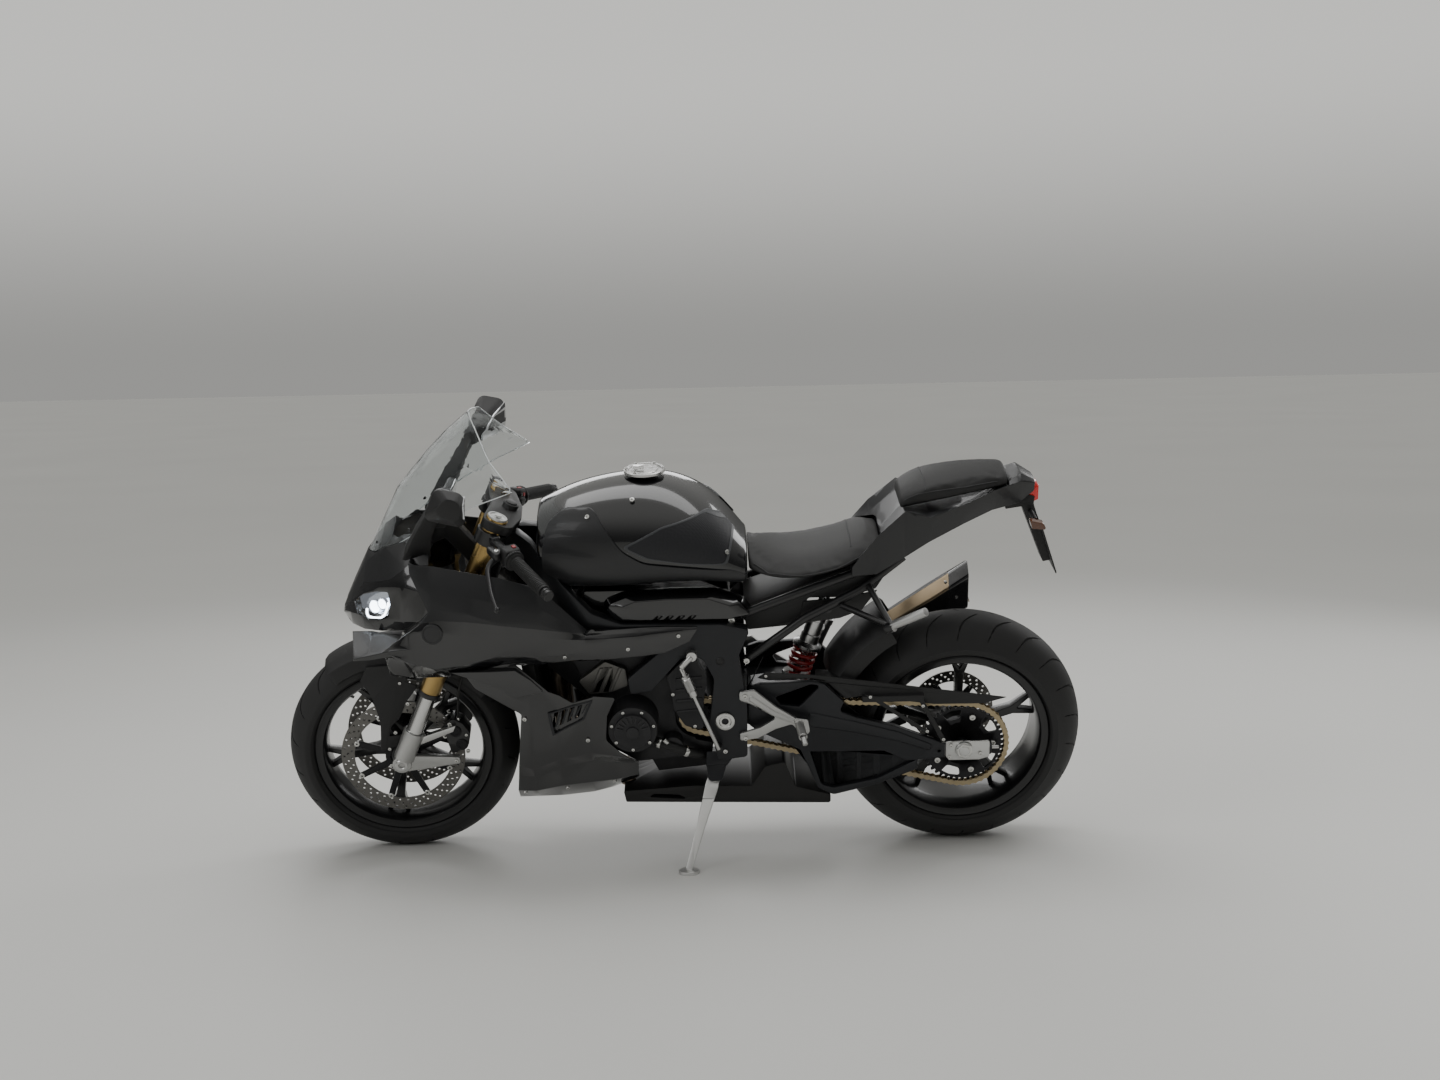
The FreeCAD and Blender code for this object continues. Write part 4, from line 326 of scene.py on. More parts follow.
FINISHES = {
    "gloss_black": dict(colour=BLACK, roughness=0.16, coat=1.0, bump=0.008, spread=0.06, grain_scale=900,
                        variation=0.15),
    "satin_black": dict(colour=(0.014, 0.0145, 0.016), roughness=0.40, coat=0.15, bump=0.03,
                        grain_scale=1500, variation=0.12),
    "moulded_black": dict(colour=(0.011, 0.011, 0.0115), roughness=0.52, bump=0.25, grain_scale=1800,
                          wear=0.15, wear_colour=(0.04, 0.04, 0.04)),
    "frame_alloy": dict(colour=(0.022, 0.023, 0.026), roughness=0.40, metallic=0.5, bump=0.12, coat=0.1,
                        grain_scale=900, wear=0.2, wear_colour=DARK_EDGE),
    "black_steel": dict(colour=(0.012, 0.012, 0.013), roughness=0.36, coat=0.2, bump=0.06, wear=0.2,
                        wear_colour=DARK_EDGE),
    "engine_casting": dict(colour=(0.020, 0.020, 0.022), roughness=0.46, metallic=0.3, bump=0.3,
                           grain_scale=900, wear=0.25, wear_colour=PALE_EDGE),
    "grey_casting": dict(colour=(0.17, 0.165, 0.155), roughness=0.48, metallic=0.8, bump=0.35,
                         grain_scale=700, wear=0.2, wear_colour=(0.4, 0.4, 0.38)),
    "radiator_black": dict(colour=(0.012, 0.012, 0.012), roughness=0.6, bump=0.3, grain_scale=300),
    "exhaust_steel": dict(colour=(0.26, 0.21, 0.165), roughness=0.34, metallic=1.0, bump=0.05,
                          variation=0.4, patch_scale=14),
    "box_black": dict(colour=(0.012, 0.0115, 0.0115), roughness=0.42, bump=0.1, metallic=0.2, wear=0.2,
                      wear_colour=DARK_EDGE),
    "bronze_shield": dict(colour=(0.30, 0.235, 0.155), roughness=0.34, metallic=1.0, bump=0.06,
                          variation=0.3, patch_scale=10),
    "pad_rubber": dict(colour=(0.010, 0.0105, 0.0135), roughness=0.5, bump=1.0, height=dimples(300.0, 0.0)),
    "clear_lens": dict(colour=(0.95, 0.97, 1.0), roughness=0.03, transmission=1.0, bump=0.0, ior=1.35,
                       spread=0.02, variation=0.02),
    "clear_screen": dict(colour=(0.90, 0.925, 0.93), roughness=0.02, transmission=1.0, bump=0.0, ior=1.22,
                         spread=0.01, variation=0.01),
    # pale screen edge: a painted highlight, the light caught along the clear windscreen's cut edge
    "screen_edge": dict(colour=(0.72, 0.76, 0.77), roughness=0.15, coat=1.0, bump=0.0, variation=0.05),
    "daylight_lamp": dict(colour=(0.86, 0.93, 1.0), roughness=0.2, bump=0.0, emission=9.0, variation=0.03),
    # faint emission on the lamp chrome: a painted glow of the lit lamps' light in the headlight bowls and
    # rings
    "lamp_chrome": dict(colour=(0.62, 0.65, 0.7), roughness=0.12, metallic=1.0, bump=0.02, emission=0.25,
                        variation=0.1),
    "seat_cover": dict(colour=(0.013, 0.013, 0.0132), roughness=0.58, bump=0.6, height=dimples(750.0, 1.0)),
    "seam_thread": dict(colour=(0.03, 0.03, 0.032), roughness=0.6, bump=0.4, grain_scale=2500),
    "pale_seam": dict(colour=(0.06, 0.063, 0.068), roughness=0.4, bump=0.2, variation=0.1),
    "red_lens": dict(colour=(0.55, 0.01, 0.008), roughness=0.12, coat=0.8, bump=0.02, emission=0.25),
    "amber_lens": dict(colour=(0.10, 0.032, 0.008), roughness=0.15, coat=0.8, bump=0.05),
    "red_switch": dict(colour=(0.34, 0.008, 0.012), roughness=0.35, coat=0.3, bump=0.05),
    "machined_alloy": dict(colour=(0.60, 0.60, 0.59), roughness=0.30, metallic=1.0, bump=0.1,
                           grain_scale=700, variation=0.08, wear=0.2, wear_colour=(0.8, 0.8, 0.8)),
    "cast_alloy": dict(colour=(0.52, 0.52, 0.51), roughness=0.42, metallic=0.9, bump=0.35,
                       grain_scale=420, variation=0.1, wear=0.25, wear_colour=(0.75, 0.75, 0.75)),
    "fork_chrome": dict(colour=(0.66, 0.66, 0.65), roughness=0.16, metallic=1.0, bump=0.02, spread=0.08,
                        variation=0.06),
    "bright_bolt": dict(colour=(0.62, 0.62, 0.60), roughness=0.25, metallic=1.0, bump=0.05, variation=0.15),
    "gold_anodised": dict(colour=(0.48, 0.33, 0.13), roughness=0.28, metallic=1.0, bump=0.03,
                          variation=0.08),
    "shock_steel": dict(colour=(0.56, 0.56, 0.56), roughness=0.28, metallic=1.0, bump=0.05),
    "red_spring": dict(colour=(0.42, 0.012, 0.015), roughness=0.3, coat=0.5, bump=0.05),
    "chain_gold": dict(colour=(0.36, 0.285, 0.17), roughness=0.38, metallic=1.0, bump=0.1, variation=0.3,
                       wear=0.3, wear_colour=(0.6, 0.55, 0.42)),
    "grip_rubber": dict(colour=(0.012, 0.012, 0.012), roughness=0.6, bump=0.4),
    "hose_rubber": dict(colour=(0.010, 0.010, 0.010), roughness=0.55, bump=0.3),
    "tyre_rubber": dict(colour=(0.016, 0.016, 0.0165), roughness=0.66, bump=0.2, grain_scale=1400,
                        wear=0.2, wear_colour=(0.045, 0.045, 0.044), patch_scale=9),
    "wheel_black": dict(colour=BLACK, roughness=0.3, coat=0.25, bump=0.02, spread=0.08),
    "disc_steel": dict(colour=(0.17, 0.165, 0.155), roughness=0.38, metallic=1.0, bump=0.08,
                       grain_scale=1000, variation=0.2),
    "carrier_black": dict(colour=(0.02, 0.02, 0.022), roughness=0.38, metallic=0.6, bump=0.08),
    "stand_steel": dict(colour=(0.70, 0.70, 0.69), roughness=0.34, metallic=0.9, bump=0.12,
                        grain_scale=500, variation=0.1),
    "mirror_glass": dict(colour=(0.62, 0.63, 0.65), roughness=0.05, metallic=1.0, bump=0.0, spread=0.03,
                         variation=0.03),
    "display_glass": dict(colour=(0.008, 0.009, 0.012), roughness=0.08, coat=1.0, bump=0.0, spread=0.04),
    "blank_plate": dict(colour=(0.72, 0.72, 0.70), roughness=0.4, coat=0.3, bump=0.05, variation=0.04),
}
MATERIALS = {name: finish_material(name, **finish) for name, finish in FINISHES.items()}


# Shapes

def add_piece(name, bm, material, body, place=None, sharp=35, node=None):
    """A finished mesh that rides on its body and may stand for a node, in the upright bike's millimetres
    unless place is given."""
    mesh = bpy.data.meshes.new(name)
    bm.to_mesh(mesh)
    bm.free()
    mesh.transform(PLACE[body] if place is None else place)
    for slot in ([material] if isinstance(material, str) else material):
        mesh.materials.append(MATERIALS[slot])
    mesh.shade_smooth()
    mesh.set_sharp_from_angle(angle=math.radians(sharp))
    piece = bpy.data.objects.new(name, mesh)
    bpy.context.scene.collection.objects.link(piece)
    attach(piece, body)
    if node:
        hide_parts(node)
    return piece


def joined(parts):
    whole = bmesh.new()
    for part in parts:
        mesh = bpy.data.meshes.new("part")
        part.to_mesh(mesh)
        part.free()
        whole.from_mesh(mesh)
        bpy.data.meshes.remove(mesh)
    return whole


def copies(bm, places):
    made = []
    for place in places:
        copy = bm.copy()
        bmesh.ops.transform(copy, matrix=place, verts=copy.verts)
        made.append(copy)
    bm.free()
    return joined(made)


def both_sides(bm):
    other = bm.copy()
    bmesh.ops.scale(other, vec=(1, -1, 1), verts=other.verts)
    bmesh.ops.reverse_faces(other, faces=other.faces)
    return joined([bm, other])


def round_about(centre, angles):
    """Places for copies turned about a line across the bike through a point, angles in degrees."""
    return [Matrix.Translation(centre) @ Matrix.Rotation(math.radians(angle), 4, "Y")
            @ Matrix.Translation(-Vector(centre)) for angle in angles]


def soften_edges(bm, width, segments=2, angle=38, chosen=None):
    edges = chosen if chosen is not None else [e for e in bm.edges if len(e.link_faces) == 2
                                               and e.calc_face_angle(0) > math.radians(angle)]
    bmesh.ops.bevel(bm, geom=edges, offset=width, offset_type="OFFSET", segments=segments, profile=0.5,
                    affect="EDGES", clamp_overlap=True, material=-1)


def spun(profile, centre, axis=(0, 1, 0), steps=64, closed=False):
    """A turned shape. The profile's points are (radius, distance along the axis from the centre)."""
    bm = bmesh.new()
    way = Vector(axis).normalized()
    out = way.orthogonal().normalized()
    middle = Vector(centre)
    verts = [bm.verts.new(middle + out * radius + way * along) for radius, along in profile]
    runs = list(zip(verts, verts[1:])) + ([(verts[-1], verts[0])] if closed else [])
    edges = [bm.edges.new(run) for run in runs]
    bmesh.ops.spin(bm, geom=verts + edges, cent=middle, axis=way, angle=math.tau, steps=steps,
                   use_merge=True)
    bmesh.ops.remove_doubles(bm, verts=bm.verts, dist=0.01)
    bmesh.ops.recalc_face_normals(bm, faces=bm.faces)
    return bm


def drum(start, end, radius, edge=1.0, steps=32):
    """A round bar or boss between two points, with rounded rims."""
    start = Vector(start)
    run = Vector(end) - start
    edge = min(edge, radius * 0.4, run.length * 0.4)
    return spun([(0, 0), (radius - edge, 0), (radius - edge * 0.3, edge * 0.3), (radius, edge),
                 (radius, run.length - edge), (radius - edge * 0.3, run.length - edge * 0.3),
                 (radius - edge, run.length), (0, run.length)], start, run, steps)


def extruded(points, step):
    """A plate with a closed line of points for one face, as thick as the step."""
    bm = bmesh.new()
    face = bm.faces.new([bm.verts.new(point) for point in points])
    raised = bmesh.ops.extrude_face_region(bm, geom=[face])["geom"]
    bmesh.ops.translate(bm, verts=[v for v in raised if isinstance(v, bmesh.types.BMVert)], vec=step)
    bmesh.ops.recalc_face_normals(bm, faces=bm.faces)
    return bm


def slab(outline, y_from, y_to, edge=0.0, corner=0.0):
    """A plate from an outline in side view (x, z), with rounded corners and edges."""
    bm = extruded([(x, y_from, z) for x, z in outline], (0, y_to - y_from, 0))
    if corner:
        uprights = [e for e in bm.edges if abs(e.verts[0].co.y - e.verts[1].co.y) > 0.01]
        soften_edges(bm, corner, 4, chosen=uprights)
    if edge:
        soften_edges(bm, edge)
    return bm


def lofted(sections, closed=True):
    """Bridges a row of sections, lists of points, and closes the two ends of a closed form."""
    bm = bmesh.new()
    rings = []
    loops = []
    for section in sections:
        verts = [bm.verts.new(point) for point in section]
        runs = list(zip(verts, verts[1:])) + ([(verts[-1], verts[0])] if closed else [])
        rings.append(verts)
        loops.append([bm.edges.new(run) for run in runs])
    for first, second in zip(loops, loops[1:]):
        bmesh.ops.bridge_loops(bm, edges=first + second)
    if closed:
        for ring in (rings[0], rings[-1]):
            bm.faces.new(ring)
    bmesh.ops.recalc_face_normals(bm, faces=bm.faces)
    return bm


def swept(points, radius, widths=None, sides=3, order=3):
    """A smooth tube along a line of points, as thick at each as its share of the radius."""
    curve = bpy.data.curves.new("run", "CURVE")
    curve.dimensions = "3D"
    curve.bevel_depth = radius
    curve.bevel_resolution = sides
    curve.resolution_u = 6
    curve.use_fill_caps = True
    spline = curve.splines.new("NURBS")
    spline.points.add(len(points) - 1)
    for i, point in enumerate(points):
        spline.points[i].co = (*point, 1)
        spline.points[i].radius = widths[i] if widths else 1.0
    spline.order_u = order
    spline.use_endpoint_u = True
    holder = bpy.data.objects.new("run", curve)
    mesh = bpy.data.meshes.new_from_object(holder)
    bm = bmesh.new()
    bm.from_mesh(mesh)
    bmesh.ops.remove_doubles(bm, verts=bm.verts, dist=0.01)
    bmesh.ops.recalc_face_normals(bm, faces=bm.faces)
    bpy.data.meshes.remove(mesh)
    bpy.data.objects.remove(holder)
    bpy.data.curves.remove(curve)
    return bm


def held(bm):
    """A working object in the scene with a shape's mesh. The shape is used up."""
    mesh = bpy.data.meshes.new("working")
    bm.to_mesh(mesh)
    bm.free()
    holder = bpy.data.objects.new("working", mesh)
    bpy.context.scene.collection.objects.link(holder)
    return holder


def modified(holder):
    """The shape that a working object's modifiers give."""
    made = bmesh.new()
    made.from_object(holder, bpy.context.evaluated_depsgraph_get())
    return made


def discard(holder):
    mesh = holder.data
    bpy.data.objects.remove(holder)
    bpy.data.meshes.remove(mesh)


def carved(body, tool, way="DIFFERENCE"):
    """The first shape cut by the second, or kept within it. Both are used up."""
    blank = held(body)
    cutter = held(tool)
    modifier = blank.modifiers.new("carve", "BOOLEAN")
    modifier.operation = way
    modifier.solver = "EXACT"
    modifier.object = cutter
    made = modified(blank)
    discard(blank)
    discard(cutter)
    return made


def subdivided(bm, levels):
    """The smooth form of a cage."""
    cage = held(bm)
    modifier = cage.modifiers.new("smooth", "SUBSURF")
    modifier.levels = levels
    modifier.render_levels = levels
    made = modified(cage)
    discard(cage)
    return made


def bolt_shape():
    """A round bolt head of radius 1 with a rounded brow and a socket."""
    bm = bmesh.new()
    bmesh.ops.create_cone(bm, cap_ends=True, segments=18, radius1=1, radius2=1, depth=0.75,
                          matrix=Matrix.Translation((0, 0, 0.375)))
    top = max(bm.faces, key=lambda face: face.calc_center_median().z)
    soften_edges(bm, 0.16, chosen=list(top.edges))
    top = max(bm.faces, key=lambda face: face.calc_center_median().z)
    bmesh.ops.inset_region(bm, faces=[top], thickness=0.34, depth=0.0)
    bmesh.ops.inset_region(bm, faces=[top], thickness=0.03, depth=-0.42)
    return bm


BOLT = bolt_shape()


def bolt(place, way, radius):
    turn = Vector(way).to_track_quat("Z", "Y").to_matrix().to_4x4()
    copy = BOLT.copy()
    bmesh.ops.transform(copy, matrix=Matrix.Translation(place) @ turn @ Matrix.Scale(radius, 4),
                        verts=copy.verts)
    return copy


def bolts(name, body, places, way, material="bright_bolt", mirrored=False):
    """A set of bolts, each (x, y, z, radius)."""
    made = joined([bolt((x, y, z), way, radius) for x, y, z, radius in places])
    return add_piece(name, both_sides(made) if mirrored else made, material, body)


def ring_of(centre, radius, count, y, size, start=0.0):
    """Places for bolts of one size, evenly round a centre (x, z) at a y."""
    angles = [math.radians(start + 360 * i / count) for i in range(count)]
    return [(centre[0] + radius * math.cos(angle), y, centre[1] + radius * math.sin(angle), size)
            for angle in angles]


def on_fork(side, up, back=0.0, out=0.0):
    """A point by a fork leg: how far up it from the axle, behind it, and outside it."""
    rearward = Vector((math.cos(RAKE), 0, -math.sin(RAKE)))
    return FRONT_AXLE + Vector((0, side * (FORK_SPREAD + out), 0)) + FORK_UP * up + rearward * back


def height_on(line, x):
    """Height of a line of (x, z) points at an x, level beyond its ends."""
    if x <= line[0][0]:
        return line[0][1]
    for (x_from, z_from), (x_to, z_to) in zip(line, line[1:]):
        if x <= x_to:
            return z_from + (z_to - z_from) * (x - x_from) / (x_to - x_from)
    return line[-1][1]


def body_of(piece):
    return piece["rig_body"]


def upright_shape(piece):
    """A piece's or node's mesh in the upright bike's millimetres."""
    bm = bmesh.new()
    bm.from_mesh(piece.data)
    bmesh.ops.transform(bm, matrix=PLACE[body_of(piece)].inverted(), verts=bm.verts)
    return bm


def softened(node, material, width=0.0011, segments=2, angle=38, line=None, choose=None):
    """A copy of a rigid node with rounded edges, which stands for it. It may be cut along a line in side
    view, and choose gives the material's number for a face from its middle and normal on the upright bike."""
    bm = bmesh.new()
    bm.from_mesh(NODES[node].data)
    bmesh.ops.remove_doubles(bm, verts=bm.verts, dist=0.00003)
    bmesh.ops.dissolve_limit(bm, angle_limit=math.radians(1.2), verts=bm.verts, edges=bm.edges,
                             use_dissolve_boundaries=False)
    sharp = [e for e in bm.edges if len(e.link_faces) == 2 and e.calc_face_angle(0) > math.radians(angle)]
    bmesh.ops.bevel(bm, geom=sharp, offset=width, offset_type="OFFSET", segments=segments, profile=0.5,
                    affect="EDGES", clamp_overlap=False, material=-1, miter_outer="ARC")
    body = body_of(NODES[node])
    place = PLACE[body]
    for start, end in zip(line or [], (line or [])[1:]):
        across = Vector((start[1] - end[1], 0, end[0] - start[0]))
        bmesh.ops.bisect_plane(bm, geom=bm.verts[:] + bm.edges[:] + bm.faces[:], dist=0.00001,
                               plane_co=place @ Vector((start[0], 0, start[1])),
                               plane_no=(place.to_3x3() @ across).normalized())
    if choose:
        upright = place.inverted()
        for face in bm.faces:
            face.material_index = choose(upright @ face.calc_center_median(),
                                         (upright.to_3x3() @ face.normal).normalized())
    return add_piece(node + "_finish", bm, material, body, place=Matrix.Identity(4), sharp=30, node=node)


def refinish(node, material):
    """A node whose shape is right keeps its mesh and takes a better material."""
    data = NODES[node].data
    data.materials.clear()
    data.materials.append(MATERIALS[material])


# Wheels

def wheel_rim(node, body, axle, half, hub_radius, hub_half, first_spoke):
    """A hollow-lipped barrel on five spokes that fork before they reach it."""
    seat = RIM_SEAT_RADIUS
    flange = RIM_FLANGE_RADIUS
    barrel = spun([(seat, -half), (seat - 3, -half + 14), (seat - 8, 0), (seat - 3, half - 14), (seat, half),
                   (flange - 2, half), (flange, half + 1.5), (flange, half + 4.5), (flange - 3, half + 6),
                   (flange - 9, half + 4), (seat - 5, half + 3), (seat - 10, half - 3),
                   (seat - 14, half * 0.4), (seat - 14, -half * 0.4), (seat - 10, 3 - half),
                   (seat - 5, -half - 3), (flange - 9, -half - 4), (flange - 3, -half - 6),
                   (flange, -half - 4.5), (flange, -half - 1.5), (flange - 2, -half)],
                  axle, steps=96, closed=True)
    tip = seat - 9
    x, z = axle.x, axle.z
    spoke = slab([(x + hub_radius - 6, z + 17), (x + hub_radius - 6, z - 17), (x + 80, z - 9.5),
                  (x + tip - 58, z - 11), (x + tip, z - 32), (x + tip, z - 20), (x + tip - 42, z - 1.5),
                  (x + tip - 42, z + 1.5), (x + tip, z + 20), (x + tip, z + 32), (x + tip - 58, z + 11),
                  (x + 80, z + 9.5)], -15, 15)
    for vert in spoke.verts:
        share = max(0.0, min(1.0, (vert.co.x - x - hub_radius) / (tip - hub_radius)))
        vert.co.y *= 1.5 - 0.75 * share
    soften_edges(spoke, 3.2, 3, angle=50)
    spokes = copies(spoke, round_about(axle, [-first_spoke - 360 / SPOKES * i for i in range(SPOKES)]))
    hub = spun([(14, -hub_half), (hub_radius - 3, -hub_half), (hub_radius, 3 - hub_half),
                (hub_radius, -26), (hub_radius + 5, -20), (hub_radius + 5, 20), (hub_radius, 26),
                (hub_radius, hub_half - 3), (hub_radius - 3, hub_half), (14, hub_half)],
               axle, steps=64, closed=True)
    add_piece(node + "_finish", joined([barrel, spokes, hub]), "wheel_black", body, sharp=40, node=node)
    valve = drum(axle + Vector((-seat + 10, half * 0.4, 0)), axle + Vector((-seat + 36, half * 0.75, 0)), 4)
    turned = copies(valve, round_about(axle, [first_spoke]))
    add_piece(node + "_finish_valve", turned, "bright_bolt", body)


def tyre(node, body, axle, radius, half, crown, rim_half, groove_count):
    """A round tyre with a stepped side wall and slanted tread grooves."""
    ring = radius - crown

    def at(y):
        return ring + math.sqrt(crown ** 2 - y ** 2)

    tread = [(at(y), y) for y in (half * share for share in (0.0, 0.2, 0.4, 0.58, 0.74, 0.88, 0.97))]
    shoulder = at(half * 0.97)
    wall = [(shoulder - 3, half), (shoulder - 8, half), (shoulder - 18, half - 2),
            (246, rim_half + 9), (238, rim_half + 6.5), (236, rim_half + 4), (232, rim_half + 1),
            (231.5, rim_half - 0.3), (217, rim_half - 0.3)]
    right = tread + wall
    left = [(r, -y) for r, y in reversed(right) if y > 0]
    form = spun(left + right, axle, steps=144, closed=True)
    cutters = []
    for i in range(groove_count):
        start = 360.0 / groove_count * i
        for side in SIDES:
            points = []
            for share, turn in ((0.10, 0.0), (0.34, 5.5), (0.60, 9.5), (0.88, 11.5)):
                y = half * share
                angle = math.radians(start + (turn if side < 0 else turn + 180.0 / groove_count))
                r = at(y) + 0.4
                points.append(axle + Vector((r * math.cos(angle), side * y, r * math.sin(angle))))
            cutters.append(swept(points, 2.9, (0.6, 1.1, 1.2, 0.5), sides=1))
    add_piece(node + "_finish", carved(form, joined(cutters)), "tyre_rubber", body, sharp=40, node=node)


def drilled_disc(axle, radius, band, y, rows, count):
    """A brake disc's ring with slanted rows of holes."""
    inner = radius - band
    ring = spun([(inner, y - 2.5), (radius - 0.6, y - 2.5), (radius, y - 1.9), (radius, y + 1.9),
                 (radius - 0.6, y + 2.5), (inner, y + 2.5)], Vector((axle.x, 0, axle.z)), steps=96,
                 closed=True)
    holes = []
    for row in range(rows):
        distance = inner + band * (row + 0.75) / (rows + 0.5)
        for i in range(count):
            angle = math.tau * (i + row * 0.36) / count
            x = axle.x + distance * math.cos(angle)
            z = axle.z + distance * math.sin(angle)
            hole = bmesh.new()
            bmesh.ops.create_cone(hole, cap_ends=True, segments=10, radius1=3.3, radius2=3.3, depth=14,
                                  matrix=Matrix.Translation((x, y, z)) @ Matrix.Rotation(math.pi / 2, 4, "X"))
            holes.append(hole)
    return carved(ring, joined(holes))


def disc_carrier(axle, y, hub, reach, arms):
    """The dark carrier between a hub and its disc, with a bright bobbin at the end of each arm."""
    x, z = axle.x, axle.z
    arm = slab([(x + hub - 2, z - 13), (x + hub + 10, z - 9), (x + reach - 6, z - 8), (x + reach, z - 4),
                (x + reach, z + 4), (x + reach - 6, z + 8), (x + hub + 10, z + 9), (x + hub - 2, z + 13)],
               y - 3.5, y + 3.5, edge=1.2)
    angles = [360 / arms * i + 20 for i in range(arms)]
    ring = spun([(hub, y - 4.5), (hub + 11, y - 4.5), (hub + 12, y - 3.5), (hub + 12, y + 3.5),
                 (hub + 11, y + 4.5), (hub, y + 4.5)], Vector((x, 0, z)), steps=64, closed=True)
    bobbin = spun([(2.5, y - 5.5), (6.5, y - 5.5), (7.5, y - 4.5), (7.5, y + 4.5), (6.5, y + 5.5),
                   (2.5, y + 5.5)], Vector((x + reach - 1, 0, z)), steps=20, closed=True)
    return (joined([ring, copies(arm, round_about(axle, angles))]),
            copies(bobbin, round_about(axle, angles)))


def make_wheels():
    wheel_rim("front_rim", "front_wheel", FRONT_AXLE, FRONT_RIM_HALF, hub_radius=34, hub_half=73,
              first_spoke=44)
    wheel_rim("rear_rim", "rear_wheel", REAR_AXLE, REAR_RIM_HALF, hub_radius=48, hub_half=88.5,
              first_spoke=17)
    tyre("front_tyre", "front_wheel", FRONT_AXLE, FRONT_TYRE_RADIUS, half=60, crown=62,
         rim_half=FRONT_RIM_HALF, groove_count=20)
    tyre("rear_tyre", "rear_wheel", REAR_AXLE, REAR_TYRE_RADIUS, half=95, crown=98,
         rim_half=REAR_RIM_HALF, groove_count=22)
    rotors = both_sides(drilled_disc(FRONT_AXLE, FRONT_DISC_RADIUS, band=34, y=FRONT_DISC_OFFSET, rows=3,
                                     count=40))
    add_piece("front_discs_finish", rotors, "disc_steel", "front_wheel", node="front_discs")
    carrier, bobbins = disc_carrier(FRONT_AXLE, FRONT_DISC_OFFSET, hub=34.3, reach=125, arms=8)
    add_piece("front_disc_carriers", both_sides(carrier), "carrier_black", "front_wheel")
    add_piece("front_disc_bobbins", both_sides(bobbins), "bright_bolt", "front_wheel")
    bolts("front_disc_bolts", "front_wheel",
          ring_of((FRONT_AXLE.x, FRONT_AXLE.z), 41, 5, FRONT_DISC_OFFSET + 5, 4.5), (0, 1, 0), mirrored=True)
    rotor = drilled_disc(REAR_AXLE, REAR_DISC_RADIUS, band=30, y=REAR_DISC_OFFSET, rows=3, count=26)
    add_piece("rear_disc_finish", rotor, "disc_steel", "rear_wheel", node="rear_disc")
    carrier, bobbins = disc_carrier(REAR_AXLE, REAR_DISC_OFFSET, hub=30, reach=82, arms=5)
    add_piece("rear_disc_carrier", carrier, "carrier_black", "rear_wheel")
    add_piece("rear_disc_bobbins", bobbins, "bright_bolt", "rear_wheel")


def make_sprocket():
    """The rear sprocket, opened between its arms, with its five nuts."""
    bm = upright_shape(NODES["rear_sprocket"])
    bmesh.ops.remove_doubles(bm, verts=bm.verts, dist=WELD)
    x, z = REAR_AXLE.x, REAR_AXLE.z
    window = slab([(x + 70, z - 16), (x + 92, z - 26), (x + 97, z), (x + 92, z + 26), (x + 70, z + 16)],
                  -CHAIN_OFFSET - 10, -CHAIN_OFFSET + 4, corner=6)
    windows = copies(window, round_about(REAR_AXLE, [72 * i + 36 for i in range(5)]))
    add_piece("rear_sprocket_finish", carved(bm, windows), "carrier_black", "rear_wheel",
              node="rear_sprocket")
    bolts("rear_sprocket_nuts", "rear_wheel", ring_of((x, z), 78, 5, -CHAIN_OFFSET - 3.5, 8), (0, -1, 0))


# Fork, bars and front brakes

CALIPER_TURN = math.radians(21.1)    # about the axle, up from straight behind it
BAR_START = Vector((278, 137, 922))
BAR_END = Vector((406, 350, 866))
BAR_WAY = (BAR_END - BAR_START).normalized()
BAR_REAR = BAR_WAY.cross(Vector((0, 0, 1))).normalized()
BAR_TOP = BAR_REAR.cross(BAR_WAY).normalized()


def on_bar(along, rear=0.0, top=0.0):
    """A point by the right-hand bar: distance from the fork, towards the rider, and above the bar."""
    return BAR_START + BAR_WAY * along + BAR_REAR * rear + BAR_TOP * top


def bar_block(middle, size, edge):
    """A rounded block lined up with the right-hand bar, size (along, rearward, up)."""
    bm = bmesh.new()
    bmesh.ops.create_cube(bm, size=1)
    bmesh.ops.scale(bm, vec=size, verts=bm.verts)
    soften_edges(bm, edge, 3)
    turn = Matrix((BAR_WAY, BAR_REAR, BAR_TOP)).transposed().to_4x4()
    bmesh.ops.transform(bm, matrix=Matrix.Translation(middle) @ turn, verts=bm.verts)
    return bm


def make_fork():
    softened("fork_lower_legs", ("cast_alloy", "fork_chrome"), width=0.0018, segments=3,
             choose=lambda spot, normal: int((spot - FRONT_AXLE).dot(FORK_UP) > 99.5))
    softened("fork_outer_tubes", "gold_anodised")
    softened("triple_clamps", "moulded_black", width=0.0016)
    collars = []
    caps = []
    ends = []
    for side in SIDES:
        collars.append(spun([(22, 0), (28, 0), (29, 1.5), (29, 11), (28, 13), (27.2, 13)],
                            on_fork(side, 208), FORK_UP, 48, closed=True))
        caps.append(spun([(0, 9), (8, 9), (9, 8), (9, 4), (19, 3), (20, 5), (24, 5), (25.5, 3), (25.5, 0),
                          (0, 0)], on_fork(side, 726.2), FORK_UP, 36))
        ends.append(spun([(7.5, 0), (15, 0), (16, 1.2), (16, 4), (14.5, 5.5), (9, 5.5), (7.5, 4)],
                         (0, side * 122, 300), (0, side, 0), 40, closed=True))
    add_piece("fork_seals", joined(collars), "black_steel", "steering")
    add_piece("fork_caps", joined(caps), "machined_alloy", "steering")
    add_piece("front_axle_ends", joined(ends), "machined_alloy", "steering")
    bolts("fork_foot_bolts", "steering", [(20, -116, 288, 4), (20, -116, 312, 4), (140, -116, 301, 5)],
          (0, -1, 0), mirrored=True)
    ignition = joined([drum((276, 0, 930), (283, 0, 958), 17, 2), drum((283, 0, 958), (284, 0, 962), 11, 1)])
    add_piece("ignition_lock", ignition, "machined_alloy", "steering")
    softened("front_fender", "moulded_black")
    bolts("front_fender_bolts", "steering", [(25, -82, 457, 5), (-13, -82, 375, 5), (10, -82, 516, 4)],
          (0, -1, 0), mirrored=True)


